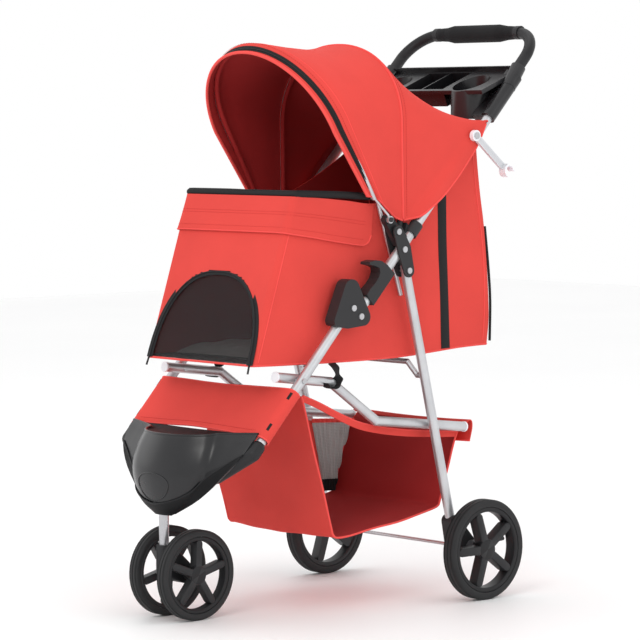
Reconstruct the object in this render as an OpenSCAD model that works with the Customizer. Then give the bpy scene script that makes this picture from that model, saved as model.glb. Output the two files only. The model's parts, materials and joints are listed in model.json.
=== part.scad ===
// Folding three-wheel pet stroller.
// Every [y, z] point is measured from the rear axle line (y) and the floor (z);
// x is 0 on the plane of symmetry and +x is the stroller's left side. The front faces -y.

/* [Wheels] */
// Diameter of the rear wheels
rear_wheel_d = 165; // [160:1:168]
// Width of the rear wheels
rear_wheel_w = 24; // [20:1:25]
// Distance between the outer faces of the rear wheels
track_w = 415; // [413:1:420]
// Diameter of the front wheels
front_wheel_d = 144; // [138:1:146]
// Width of the front wheels
front_wheel_w = 20; // [16:1:21]
// Distance between the outer faces of the two front wheels
front_pair_w = 90; // [88:1:96]
// Number of spokes in each wheel
spoke_count = 5; // [4:1:6]
// Diameter of both axles
axle_d = 6; // [5:0.5:6]

/* [Frame] */
// Diameter of the frame tubes
tube_d = 16; // [15:0.5:16]
// Wall thickness of the frame tubes
tube_wall = 1.4; // [1:0.1:2]
// Distance from the plane of symmetry to each leg and handle tube
frame_x = 156; // [156:0.5:157]
// Distance from the plane of symmetry to each basket rail
rail_x = 138; // [137:0.5:138]
// Diameter of the frame rivets
rivet_d = 6; // [5:0.5:6]
// Thickness of the plastic plates at the frame joints
plate_t = 3; // [2:0.5:3]

/* [Handle] */
// Diameter of the handlebar
bar_d = 19; // [18:0.5:20]
// Diameter of the hand grip
grip_d = 30; // [28:1:34]
// Diameter of the cup holders
cup_d = 64; // [60:1:68]

/* [Fabric] */
// Outer width of the cabin
cabin_w = 266; // [260:1:268]
// Thickness of the cabin, canopy and basket panels
panel_t = 3; // [2:0.5:3]
// Outer width of the basket
basket_w = 256; // [250:1:258]
// Outer width of the canopy at its front bow
canopy_w = 308; // [306:1:310]

/* [Hidden] */
$fn = 48;

axle_y = 187;          // moves the rear axle so that the outline is centred on y = 0
gap = 0.05;            // radial clearance of running fits
tube_r = tube_d / 2;
rivet_r = rivet_d / 2;
rear_r = rear_wheel_d / 2;
front_r = front_wheel_d / 2;
rear_hub = [0, rear_r];
front_hub = [-479, front_r];
post_y = -514;         // swivel axis of the front wheels
rear_wheel_x = (track_w - rear_wheel_w) / 2;
front_wheel_x = (front_pair_w - front_wheel_w) / 2;

// frame lines: a point and the angle of each straight tube in the side view
handle_o = [-175, 552];
handle_a = 46.64;
front_o = [-355, 386];
front_a = 47.2;
rear_o = [-134, 532];
rear_a = -76.4;
function along(o, a, s, w = 0) =
  [o[0] + s * cos(a) - w * sin(a), o[1] + s * sin(a) + w * cos(a)];

// pivots of the folding linkage
fold_pivot = [-244, 476];
leg_pivot = along(handle_o, handle_a, 37.9);
rail_front_pivot = [-362, 380];
rail_rear_pivot = [-76, 290];
housing_rivet = [-260, 490];
leg_rivet = [-139, 545];
bow_pivot = [-178, 628];
latch_pivot = [4, 761];

// layers across the width at each frame joint
plate_out = frame_x + tube_r + 0.3;
plate_in = frame_x - tube_r - 0.3;
rail_r = tube_r;
rail_pts = [[-398, 386.5], [-284, 372], [-186, 303], [10, 280]];

// cabin outline in the side view
cabin_x = cabin_w / 2;
rim_front = [-355, 665];
rim_rear = [-187, 652];
floor_front = [-440, 406];
floor_mid = [-280, 404];
floor_rear = [70, 413];
back_low = [76, 486];
back_top = [44, 770];
cabin_pts = [floor_front, rim_front, rim_rear, [-120, 675], [-20, 722], back_top,
  back_low, floor_rear, floor_mid];

// canopy: bow planes, heights along them and corner radii
canopy_x = canopy_w / 2;
bow_a = 119;
bow_s = 322;
bow_corner = 148;
rear_bow_y = -139;
rear_bow_z = 622;
rear_bow_h = 286;
rear_corner = 125;
hem = [38, 792];

// basket outline in the side view
basket_x = basket_w / 2;
basket_top_front = [-337, 351];
basket_low_front = [-271, 122];
basket_low_rear = [-38, 153];
basket_top_rear = [-8, 262];

// handle loop, along the handle tubes
tray_s = 400;
bar_s = 521;
bar_corner = 60;
bar_x = 152;
bar_w = 3;
cup_x = 95;
cup_c = [72, 848];
cup_tilt = 21.8;

steel = "silver";
plastic = [0.15, 0.15, 0.16];
rubber = [0.1, 0.1, 0.1];
red = [0.85, 0.2, 0.18];
grey_mesh = [0.5, 0.5, 0.5];
pale = [0.85, 0.85, 0.87];

// everything drawn from the rear axle is moved to the centred frame
module place() translate([0, axle_y, 0]) children();
module left_side() place() children();
module right_side() place() mirror([1, 0, 0]) children();

// a rod between two points
module rod(a, b, r, fn = 48) {
  d = b - a;
  translate(a)
    rotate([0, acos(d[2] / norm(d)), atan2(d[1], d[0])])
      cylinder(h = norm(d), r = r, $fn = fn);
}
function at(x, p) = [x, p[0], p[1]];

// extrudes a [y, z] outline along x, from x0 to x1
module side(x0, x1)
  translate([x0, 0, 0]) rotate([90, 0, 90]) linear_extrude(x1 - x0) children();

// a pin along x at the side-view point p
module pin(p, x0, x1, r)
  translate([x0, p[0], p[1]]) rotate([0, 90, 0]) cylinder(h = x1 - x0, r = r);

// a straight tube in one side plane, from s0 to s1 along its line
module line_rod(x, o, a, s0, s1, r) rod(at(x, along(o, a, s0)), at(x, along(o, a, s1)), r);
module line_tube(x, o, a, s0, s1) difference() {
  line_rod(x, o, a, s0, s1, tube_r);
  line_rod(x, o, a, s0 - 1, s1 + 1, tube_r - tube_wall);
}

// a bent rod through points, with a ball at each bend
module bent_rod(pts, r) {
  for (i = [0 : len(pts) - 2]) rod(pts[i], pts[i + 1], r, 32);
  for (i = [1 : len(pts) - 2]) translate(pts[i]) sphere(r = r + 0.15, $fn = 32);
}

// rounded arch: straight sides, round corners, flat top
module arch(half, top, corner) {
  translate([-half, 0]) square([2 * half, top - corner]);
  translate([-half + corner, 0]) square([2 * (half - corner), top]);
  for (i = [-1, 1]) translate([i * (half - corner), top - corner]) circle(r = corner);
}

// ---------------------------------------------------------------- front frame

module front_leg() color(steel) difference() {
  line_tube(frame_x, front_o, front_a, -150, 145);
  pin(housing_rivet, frame_x - 10, frame_x + 10, rivet_r + gap);
  pin(rail_front_pivot, frame_x - 10, frame_x + 10, rivet_r + gap);
}

housing_disks = [[-292, 471, 9], [-272, 470, 12], [-238, 475, 14], [-263, 520, 16]];
module housing_outline() hull()
  for (d = housing_disks) translate([d[0], d[1]]) circle(r = d[2], $fn = 32);

module fold_housing() color(plastic) difference() {
  union() {
    side(plate_out, plate_out + plate_t) housing_outline();
    side(plate_in - plate_t, plate_in) housing_outline();
    // the web in front of the leg tube joins the two plates
    side(plate_in, plate_out) difference() {
      housing_outline();
      translate(front_o) rotate(front_a) translate([-100, -60 - tube_r + 1.5]) square([400, 60]);
    }
  }
  line_rod(frame_x, front_o, front_a, -100, 146, tube_r);
  line_rod(frame_x, front_o, front_a, 146, 300, tube_r - 1);
  pin(housing_rivet, 130, 180, rivet_r);
  pin(fold_pivot, 130, 180, rivet_r);
}

module rivet(p, x0, x1, head) {
  pin(p, x0, x1, rivet_r);
  pin(p, x1, x1 + 1.8, head);
}

module frame_rivets() color(steel) for (m = [0, 1]) place() mirror([m, 0, 0]) {
  rivet(housing_rivet, plate_in - plate_t, plate_out + plate_t, 5);
  rivet(fold_pivot, plate_in - plate_t, plate_out + plate_t, 5);
  rivet(rail_front_pivot, rail_x - rail_r, frame_x + tube_r, 4.5);
}

// arms of the yoke from the leg sockets to the boss
module yoke_arms(grow) for (i = [-1, 1]) {
  hull() {
    translate(at(i * frame_x, along(front_o, front_a, -143))) sphere(r = 11.5 + grow, $fn = 32);
    translate(at(i * frame_x, along(front_o, front_a, -156))) sphere(r = 11.5 + grow, $fn = 32);
    translate([i * 96, -486, 236]) sphere(r = 14 + grow, $fn = 32);
  }
  hull() {
    translate([i * 96, -486, 236]) sphere(r = 14 + grow, $fn = 32);
    translate([i * 6, -506, 222]) sphere(r = 17 + grow, $fn = 32);
  }
}
module front_yoke() color(plastic) place() difference() {
  union() {
    yoke_arms(0);
    translate([0, post_y, 188]) cylinder(h = 68, r = 19);
  }
  for (i = [-1, 1]) line_rod(i * frame_x, front_o, front_a, -150, -90, tube_r);
  translate([0, post_y, 180]) cylinder(h = 90, r = 12);
}

module swivel_bush() color(pale) place() translate([0, post_y, 188]) difference() {
  cylinder(h = 68, r = 12);
  translate([0, 0, -1]) cylinder(h = 80, r = tube_r + gap);
}

// the bowl over the yoke, with a wing up to each leg
module bowl(grow) hull() {
  translate([0, -515, 170 - grow]) scale([1.7, 1.1, 1]) cylinder(h = 3, r = 18 + grow, $fn = 32);
  translate([0, -478, 227]) scale([1.22, 1.02, 0.4]) sphere(r = 90 + grow, $fn = 32);
  translate([0, -472, 280]) scale([1.36, 1, 1]) cylinder(h = 8 + grow, r = 85 + grow, $fn = 32);
  for (i = [-1, 1]) for (s = [-146, -178])
    translate(at(i * 154, along(front_o, front_a, s))) sphere(r = 12 + grow, $fn = 32);
}
module front_cover() color(plastic) place() difference() {
  bowl(0);
  bowl(-3);
  yoke_arms(0.6);
  translate([-200, -461, 120]) cube([400, 200, 300]);
  translate([0, -461, 300]) scale([1.25, 0.55, 0.4]) sphere(r = 84);
  translate([0, post_y, 150]) cylinder(h = 60, r = tube_r + 3);
}

// ---------------------------------------------------------------- cabin

wall_x = cabin_x - panel_t;
front_slope = atan2(rim_front[1] - floor_front[1], rim_front[0] - floor_front[0]);
front_len = norm(rim_front - floor_front);

module cabin_side() color(red) side(wall_x, cabin_x) polygon(cabin_pts);

// places a flat panel that lies in the slanted front of the cabin
module in_front() place() translate([0, floor_front[0], floor_front[1]])
  rotate([front_slope, 0, 0]) children();

door_w = 232;
door_h = 146;
module door_shape() intersection() {
  translate([0, 8]) scale([1, 1]) circle(r = door_h - 6);
  translate([-door_w / 2, 8]) square([door_w, door_h]);
}

module cabin_front() color(red) in_front() difference() {
  translate([-wall_x, 0, -panel_t]) cube([2 * wall_x, front_len, panel_t]);
  translate([0, 0, -2 * panel_t]) linear_extrude(3 * panel_t) door_shape();
}
module door_mesh() color(grey_mesh) in_front()
  translate([0, 0, -2]) linear_extrude(1.2) intersection() {
    door_shape();
    translate([0, 8]) circle(r = door_h - 6.5);
  }

module cabin_rear() color(red) place() side(-wall_x, wall_x)
  polygon([floor_rear, back_low, back_top, back_top - [panel_t, 0], back_low - [panel_t, 0],
    floor_rear - [panel_t, 0]]);

module cabin_floor() color(plastic) place() side(-wall_x + 1.5, wall_x - 1.5)
  polygon([floor_front + [8, 1], floor_mid + [0, 1], floor_rear + [-4, 1],
    floor_rear + [-4, 5], floor_mid + [0, 5], floor_front + [9, 5]]);

module cushion_block(inset) place() side(-wall_x + inset, wall_x - inset)
  polygon([floor_front + [24, 5.5], floor_mid + [0, 5.5], floor_rear + [-10, 5.5],
    floor_rear + [-10, 27], floor_mid + [0, 27], floor_front + [30, 27]]);
module floor_cushion() color([0.35, 0.35, 0.37]) cushion_block(6);

rail_z = 672;
module front_rail() color(steel) place() bent_rod([[138, -131, 504], [138, -182, 660],
  [132, -200, 668], [132, -348, rail_z], [-132, -348, rail_z], [-132, -200, 668],
  [-138, -182, 660], [-138, -131, 504]], 3.5);

// ---------------------------------------------------------------- basket

module basket_front() color(red) place() difference() {
  union() {
    // the apron between the front legs, with a sleeve round each of them
    side(-frame_x, frame_x) translate(front_o) rotate(front_a)
      translate([-127, 9.2]) square([94, 2.5]);
    for (i = [-1, 1]) line_rod(i * frame_x, front_o, front_a, -127, -33, tube_r + 3);
  }
  for (i = [-1, 1]) line_rod(i * frame_x, front_o, front_a, -150, 50, tube_r + 0.2);
}

module band(x0, x1, p, q, t) side(x0, x1) polygon([p, q, q + [0, t], p + [0, t]]);
module basket_body() color(red) place() {
  side(-basket_x, basket_x) polygon([basket_top_front, basket_low_front, basket_low_rear,
    basket_top_rear, basket_top_rear - [panel_t, 0],
    basket_low_rear + [-panel_t, panel_t], basket_low_front + [panel_t, panel_t],
    basket_top_front + [panel_t, 0]]);
  for (x = [-basket_x, basket_x - panel_t]) {
    band(x, x + panel_t, [-330, 330], [-216, 282], 16);
    band(x, x + panel_t, [-216, 282], [-12, 244], 16);
  }
}
module mesh_pouch() color(grey_mesh) place() side(-basket_x, -basket_x + 2)
  polygon([[-325, 327], [-216, 281], [-18, 242], [-36, 178], [-256, 150], [-278, 165]]);

module rail_straps() color(plastic) for (m = [0, 1]) place() mirror([m, 0, 0])
  translate([rail_x - 9.5, -311, 0]) difference() {
    translate([0, 0, 361]) cube([19, 17, 41]);
    translate([1.1, -1, 362.1]) cube([16.8, 19, 42]);
  }

// ---------------------------------------------------------------- handle

module handle_tube() color(steel) difference() {
  line_tube(frame_x, handle_o, handle_a, -109, tray_s);
  pin(fold_pivot, frame_x - 10, frame_x + 10, rivet_r + gap);
  pin(leg_pivot, frame_x - 10, frame_x + 10, rivet_r + gap);
}

module canopy_bracket() difference() {
  union() {
    side(frame_x - 5, frame_x + 5) hull() {
      translate(bow_pivot) circle(r = 8, $fn = 32);
      translate(along(handle_o, handle_a, 52, 9)) circle(r = 9, $fn = 32);
      translate(along(handle_o, handle_a, 38, 12)) circle(r = 3, $fn = 32);
    }
    pin(bow_pivot, frame_x + 5, frame_x + 11, 2.5);
    pin(bow_pivot, frame_x + 10.2, frame_x + 12, 4);
  }
  line_rod(frame_x, handle_o, handle_a, 0, 100, tube_r);
}
module canopy_brackets() color(plastic) for (m = [0, 1]) place() mirror([m, 0, 0])
  canopy_bracket();

rear_bow_x = canopy_x - 9;
module canopy_clip() difference() {
  union() {
    line_rod(frame_x, handle_o, handle_a, 70, 92, tube_r + 3);
    translate([rear_bow_x, rear_bow_y, 606]) cylinder(h = 30, r = 5);
    side(rear_bow_x - 4, frame_x) polygon([[-139, 606], [-128, 596], [-118, 606], [-134, 622]]);
  }
  line_rod(frame_x, handle_o, handle_a, 0, 140, tube_r);
  translate([rear_bow_x, rear_bow_y, 620]) cylinder(h = 40, r = 3);
}
module canopy_clips() color(plastic) for (m = [0, 1]) place() mirror([m, 0, 0]) canopy_clip();

// a round bow in its own plane: sides from s0, top at s1
module bow(half, s0, s1, corner, r) {
  for (i = [-1, 1]) {
    rod([i * half, 0, s0], [i * half, 0, s1 - corner], r);
    translate([i * (half - corner), 0, s1 - corner]) rotate([90, i > 0 ? 0 : -90, 0])
      rotate_extrude(angle = 90) translate([corner, 0]) circle(r = r, $fn = 24);
  }
  rod([-half + corner, 0, s1], [half - corner, 0, s1], r);
}
module rear_bow_plane() place() translate([0, rear_bow_y, rear_bow_z]) children();
module front_bow_plane() place() translate(at(0, bow_pivot)) rotate([bow_a - 90, 0, 0]) children();

module canopy_bow_rear() color(steel) rear_bow_plane()
  bow(rear_bow_x, -2, rear_bow_h - 9, rear_corner - 9, 3);

module rear_arch(inset) place() translate([0, rear_bow_y + 1, rear_bow_z]) rotate([90, 0, 0])
  linear_extrude(1) arch(canopy_x - 1 - inset, rear_bow_h - inset, rear_corner - inset, $fn = 40);
module hem_bar(inset) place() translate([-168 + inset, hem[0] - 2.4, hem[1] - 110])
  cube([336 - 2 * inset, 1, 110 - inset]);

// widens the canopy where it passes outside the handle tubes
module flank(inset) place() translate([-168 + inset, -112, 600])
  cube([336 - 2 * inset, 1, 92 - inset]);

module canopy_rear() color(red) difference() {
  hull() {
    rear_arch(0);
    flank(0);
    hem_bar(0);
  }
  hull() {
    rear_arch(panel_t - 0.5);
    flank(panel_t - 0.5);
    hem_bar(panel_t - 0.5);
    translate([0, -2, -2]) rear_arch(panel_t - 0.5);
    translate([0, 2, -2]) hem_bar(panel_t - 0.5);
  }
  // the curved lower edge
  place() side(-200, 200) polygon([[-160, 560], [-160, 630], [-112, 631], [-76, 644],
    [-44, 664], [-19, 690], [4, 724], [24, 762], [34, 789], [60, 789], [60, 560]]);
  place() pin(latch_pivot, frame_x, frame_x + 30, 4);
}

module tray_tilt() place() translate(at(0, cup_c)) rotate([cup_tilt, 0, 0]) children();
cup_floor = 788;
module tray() color(plastic) difference() {
  union() {
    // sloping top with the cup pods and the middle compartment
    tray_tilt() translate([-150, -34, -7]) cube([300, 88, 7]);
    tray_tilt() translate([-150, 50, -7]) cube([300, 4, 16]);
    place() for (i = [-1, 1]) translate([i * cup_x, cup_c[0], cup_floor])
      cylinder(h = 70, r = cup_d / 2 + 3);
    tray_tilt() translate([-54, -30, -30]) cube([108, 80, 30]);
    // legs that sleeve the handle tubes
    place() for (i = [-1, 1]) {
      line_rod(i * frame_x, handle_o, handle_a, 327, 420, 12);
      side(i > 0 ? 126 : -frame_x, i > 0 ? frame_x : -126) translate(handle_o) rotate(handle_a)
        translate([325, -4]) square([105, 12]);
      rod(at(i * frame_x, along(handle_o, handle_a, 396)),
        at(i * bar_x, along(handle_o, handle_a, 440, bar_w)), 12.5);
    }
  }
  // nothing of the pods stands above the sloping top
  tray_tilt() for (i = [-1, 1]) translate([i * cup_x - 40, -60, 0]) cube([80, 110, 60]);
  place() for (i = [-1, 1]) translate([i * cup_x, cup_c[0], cup_floor + 3])
    cylinder(h = 120, r = cup_d / 2);
  for (x = [-51, 1.5]) tray_tilt() translate([x, -27, -27]) cube([49.5, 74, 60]);
  place() for (i = [-1, 1]) {
    line_rod(i * frame_x, handle_o, handle_a, 300, tray_s, tube_r);
    rod(at(i * bar_x, along(handle_o, handle_a, 425, bar_w)),
      at(i * bar_x, along(handle_o, handle_a, 460, bar_w)), bar_d / 2);
  }
}

module loop_plane() place() translate(at(0, along(handle_o, handle_a, 0, bar_w)))
  rotate([handle_a - 90, 0, 0]) children();
collar_x = 98;
module handlebar() color(plastic) loop_plane() difference() {
  union() {
    bow(bar_x, 425, bar_s, bar_corner, bar_d / 2);
    for (i = [-1, 1]) translate([i * collar_x - 5, 0, bar_s]) rotate([0, 90, 0])
      cylinder(h = 10, r = bar_d / 2 + 2);
  }
  translate([-collar_x + 5, 0, bar_s]) rotate([0, 90, 0])
    difference() {
      cylinder(h = 2 * collar_x - 10, r = 40);
      translate([0, 0, -1]) cylinder(h = 2 * collar_x, r = 8);
    }
}
grip_half = collar_x - 5;
module grip() color(rubber) loop_plane() translate([0, 0, bar_s]) rotate([0, 90, 0])
  difference() {
    rotate_extrude() polygon([[8, -grip_half], [11, -grip_half], [12, -72], [grip_d / 2, -56],
      [grip_d / 2, 52], [12, 72], [11, grip_half], [8, grip_half]]);
    // finger grooves on the front of the grip
    for (k = [0 : 3]) translate([0, grip_d / 2 + 10, -44 + 24 * k]) rotate([0, 90, 0])
      cylinder(h = 60, r = 12, center = true);
  }

module latch_pin() color(steel) left_side() {
  pin(latch_pivot, frame_x + tube_r - 0.2, latch_x + 8, 3);
  pin(latch_pivot, latch_x + 8, latch_x + 9.5, 5.5);
}

// ---------------------------------------------------------------- canopy bow

module front_arch(inset) front_bow_plane() translate([0, 4, 0]) rotate([90, 0, 0])
  linear_extrude(24) arch(canopy_x - inset, bow_s - inset, bow_corner - inset, $fn = 40);
module front_end_arch(inset) place() translate([0, rear_bow_y - 1, rear_bow_z]) rotate([90, 0, 0])
  linear_extrude(1) arch(canopy_x - 1 - inset, rear_bow_h - inset, rear_corner - inset, $fn = 40);

module canopy_front() color(red) difference() {
  hull() {
    front_arch(0);
    front_end_arch(0);
  }
  hull() {
    front_arch(panel_t - 0.5);
    front_end_arch(panel_t - 0.5);
    translate([0, -6, -4]) front_arch(panel_t - 0.5);
    translate([0, 2, -4]) front_end_arch(panel_t - 0.5);
  }
  place() side(-200, 200) polygon([[-400, 500], [-400, 652], [-216, 670], [-208, 670],
    [-188, 655], [-166, 638], [-139, 629], [-100, 629], [-100, 500]]);
}

eye_x = frame_x + 5.3;
bow_x = canopy_x - 7.2;
module canopy_bow_front() color(steel) {
  front_bow_plane() bow(bow_x, 38, bow_s - 7.2, bow_corner - 7.2, 3.7);
  for (m = [0, 1]) place() mirror([m, 0, 0]) difference() {
    union() {
      pin(bow_pivot, eye_x, eye_x + 4.7, 6);
      bent_rod([at(eye_x + 2.35, along(bow_pivot, bow_a, 4)),
        at(eye_x + 2.35, along(bow_pivot, bow_a, 9)),
        at(bow_x, along(bow_pivot, bow_a, 40))], 2);
    }
    pin(bow_pivot, eye_x - 1, eye_x + 6, 2.5 + gap);
  }
}

// ---------------------------------------------------------------- locks and latch

hook_pts = [[-5, 11.5], [-9, 25.7], [-17, 36], [-27, 43], [-30, 40.5], [-24, 31], [-20, 21],
  [-24, 15], [-33, 11.5], [-46, 11.2], [-58, 13], [-69, 11.9], [-72, -10.5], [-5, -10.5]];
module fold_lock() color(plastic) difference() {
  side(plate_in - plate_t, plate_out + plate_t) translate(handle_o) rotate(handle_a)
    polygon(hook_pts);
  line_rod(frame_x, handle_o, handle_a, -120, 60, tube_r + gap);
}

latch_x = frame_x + tube_r + 5;
latch_end = [74, 703];
latch_a = atan2(latch_end[1] - latch_pivot[1], latch_end[0] - latch_pivot[0]);
latch_len = norm(latch_end - latch_pivot);
module storage_latch() color(pale) left_side() difference() {
  union() {
    pin(latch_pivot, latch_x, latch_x + 7.5, 9);
    side(latch_x + 1, latch_x + 6.5) translate(latch_pivot) rotate(latch_a)
      translate([0, -5.5]) square([latch_len - 6, 11]);
    side(latch_x, latch_x + 14) translate(latch_end) circle(r = 11.5);
  }
  pin(latch_pivot, latch_x - 1, latch_x + 9, 3 + gap);
  pin(latch_end, latch_x - 1, latch_x + 15, tube_r);
  side(latch_x - 1, latch_x + 15) translate(latch_end) rotate(latch_a)
    translate([0, -6]) square([20, 12]);
}

// ---------------------------------------------------------------- rear legs

module rear_leg() color(steel) difference() {
  line_tube(frame_x, rear_o, rear_a, -23, 448);
  pin(leg_rivet, frame_x - 10, frame_x + 10, rivet_r);
}

// a plate from the top rivet past the pivot to the leg's own rivet
top_rivet = [-162, 608.5];
module connector_outline() hull() {
  translate(top_rivet) circle(r = 10, $fn = 32);
  translate(leg_pivot) circle(r = 14, $fn = 32);
  translate(leg_rivet) circle(r = 11, $fn = 32);
}
module connector() color(plastic) difference() {
  union() {
    side(plate_out, plate_out + plate_t) connector_outline();
    side(plate_in - plate_t, plate_in) connector_outline();
  }
  pin(leg_pivot, 130, 180, rivet_r);
  pin(leg_rivet, 130, 180, rivet_r);
  pin(top_rivet, plate_out - 1, 180, rivet_r);
}
module connector_rivets() color(steel) for (m = [0, 1]) place() mirror([m, 0, 0]) {
  rivet(leg_pivot, plate_in - plate_t, plate_out + plate_t, 5);
  rivet(leg_rivet, plate_in - plate_t, plate_out + plate_t, 5);
  rivet(top_rivet, plate_out, plate_out + plate_t, 5);
}

cross_end = [-96, 372];
cross_mid = [-104, 394];
module rear_cross_bar() color(steel) place() bent_rod([at(frame_x - tube_r + 0.2, cross_end),
  at(140, cross_end), at(125, cross_mid), at(-125, cross_mid), at(-140, cross_end),
  at(-frame_x + tube_r - 0.2, cross_end)], 4.5);

module rear_axle() color(steel) place() union() {
  pin(rear_hub, -track_w / 2 + 2, track_w / 2 - 2, axle_d / 2);
}

housing_x0 = frame_x - 11;
housing_x1 = frame_x + 11;
module brake_housing() color(plastic) difference() {
  side(housing_x0, housing_x1) hull() {
    translate(rear_hub) circle(r = 15, $fn = 32);
    translate(along(rear_o, rear_a, 446)) circle(r = 12, $fn = 32);
    translate(along(rear_o, rear_a, 415)) circle(r = 10.5, $fn = 32);
  }
  line_rod(frame_x, rear_o, rear_a, 380, 448, tube_r);
  pin(rear_hub, housing_x0 - 1, housing_x1 + 1, axle_d / 2);
}
pedal_x0 = housing_x1 + 0.5;
pedal_x1 = rear_wheel_x - rear_wheel_w / 2 - 1.5;
module brake_pedal() color([0.3, 0.3, 0.32]) difference() {
  union() {
    pin(rear_hub, pedal_x0, pedal_x1, 13);
    side(pedal_x0, pedal_x1) polygon([[4, 71], [2, 95], [24, 102], [60, 97], [63, 93], [61, 90],
      [30, 88], [14, 72]]);
  }
  pin(rear_hub, pedal_x0 - 1, pedal_x1 + 1, axle_d / 2 + gap);
}

// ---------------------------------------------------------------- basket rails

module rail() color(steel) difference() {
  bent_rod([for (p = rail_pts) at(rail_x, p)], rail_r);
  pin(rail_front_pivot, rail_x - 10, rail_x + 10, rivet_r + gap);
}
module rail_cap(p, q) {
  d = (q - p) / norm(q - p);
  rod(at(rail_x, p), at(rail_x, p - 3 * d), rail_r + 0.6);
}
module rail_caps() color(pale) for (m = [0, 1]) place() mirror([m, 0, 0]) {
  rail_cap(rail_pts[0], rail_pts[1]);
  rail_cap(rail_pts[3], rail_pts[2]);
}

// ---------------------------------------------------------------- wheels

// wheels are drawn about the z axis and turned on their side
module on_axle(x, hub) place() translate(at(x, hub)) rotate([0, 90, 0]) children();

module tyre(r, w) color(rubber) {
  bead = 0.85 * r;
  rotate_extrude($fn = 96) {
    translate([bead, -w / 2 + 1]) square([r - bead - 4, w - 2]);
    for (i = [-1, 1]) translate([r - 5, i * (w / 2 - 5)]) circle(r = 5, $fn = 32);
    translate([r - 5, -w / 2 + 5]) square([5, w - 10]);
  }
}

module spokes(r, phase) {
  circle(r = 0.21 * r);
  for (k = [0 : spoke_count - 1]) rotate(phase + 360 * k / spoke_count)
    translate([0, -0.085 * r]) square([0.8 * r, 0.17 * r]);
}
module rim(r, w, phase) color(plastic) {
  bead = 0.85 * r;
  inner = 0.75 * r;
  difference() {
    union() {
      rotate_extrude($fn = 96) polygon([[inner, -w / 2 + 1], [bead, -w / 2 + 1],
        [bead, w / 2 - 1], [inner + 2, w / 2 - 1], [inner, w / 2 - 3]]);
      translate([0, 0, -w / 2 + 2.5]) linear_extrude(w - 5.5) spokes(r, phase);
      cylinder(h = w - 2, r = 0.16 * r, center = true);
    }
    cylinder(h = w + 2, r = axle_d / 2 + gap, center = true);
  }
}

module caster_post() color(steel) place() translate([0, post_y, 104])
  cylinder(h = 152, r = tube_r);
module caster_fork() color(plastic) place() difference() {
  union() {
    hull() {
      translate([0, post_y, 74]) cylinder(h = 46, r = 13, $fn = 32);
      pin(front_hub, -14, 14, 16);
    }
    pin(front_hub, -front_wheel_x + front_wheel_w / 2 + 0.5, front_wheel_x - front_wheel_w / 2 - 0.5, 9);
  }
  translate([0, post_y, 104]) cylinder(h = 60, r = tube_r);
  pin(front_hub, -60, 60, axle_d / 2);
}
module front_axle() color(steel) place() union() {
  pin(front_hub, -front_pair_w / 2 + 2, front_pair_w / 2 - 2, axle_d / 2);
}

left_side() front_leg();  // front_leg_left
right_side() front_leg();  // front_leg_right
left_side() fold_housing();  // fold_housing_left
right_side() fold_housing();  // fold_housing_right
frame_rivets();
front_yoke();
front_cover();
swivel_bush();
cabin_front();
left_side() cabin_side();  // cabin_side_left
right_side() cabin_side();  // cabin_side_right
cabin_rear();
cabin_floor();
floor_cushion();
front_rail();
door_mesh();
basket_front();
basket_body();
mesh_pouch();
rail_straps();
left_side() handle_tube();  // handle_tube_left
right_side() handle_tube();  // handle_tube_right
canopy_brackets();
canopy_clips();
canopy_bow_rear();
canopy_rear();
tray();
handlebar();
grip();
latch_pin();
canopy_bow_front();
canopy_front();
left_side() fold_lock();  // fold_lock_left
right_side() fold_lock();  // fold_lock_right
storage_latch();
left_side() rear_leg();  // rear_leg_left
right_side() rear_leg();  // rear_leg_right
left_side() connector();  // connector_left
right_side() connector();  // connector_right
connector_rivets();
rear_cross_bar();
rear_axle();
left_side() brake_housing();  // brake_housing_left
right_side() brake_housing();  // brake_housing_right
left_side() brake_pedal();  // brake_pedal_left
right_side() brake_pedal();  // brake_pedal_right
left_side() rail();  // rail_left
right_side() rail();  // rail_right
rail_caps();
on_axle(rear_wheel_x, rear_hub) tyre(rear_r, rear_wheel_w);  // rear_tyre_left
on_axle(-rear_wheel_x, rear_hub) tyre(rear_r, rear_wheel_w);  // rear_tyre_right
on_axle(rear_wheel_x, rear_hub) rim(rear_r, rear_wheel_w, -90);  // rear_rim_left
on_axle(-rear_wheel_x, rear_hub) rim(rear_r, rear_wheel_w, -60);  // rear_rim_right
caster_post();
caster_fork();
front_axle();
on_axle(front_wheel_x, front_hub) tyre(front_r, front_wheel_w);  // front_tyre_left
on_axle(-front_wheel_x, front_hub) tyre(front_r, front_wheel_w);  // front_tyre_right
on_axle(front_wheel_x, front_hub) rim(front_r, front_wheel_w, 105);  // front_rim_left
on_axle(-front_wheel_x, front_hub) rim(front_r, front_wheel_w, 75);  // front_rim_right
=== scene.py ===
import json
import math

import bmesh
import bpy
import numpy as np
from mathutils import Matrix, Vector

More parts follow.
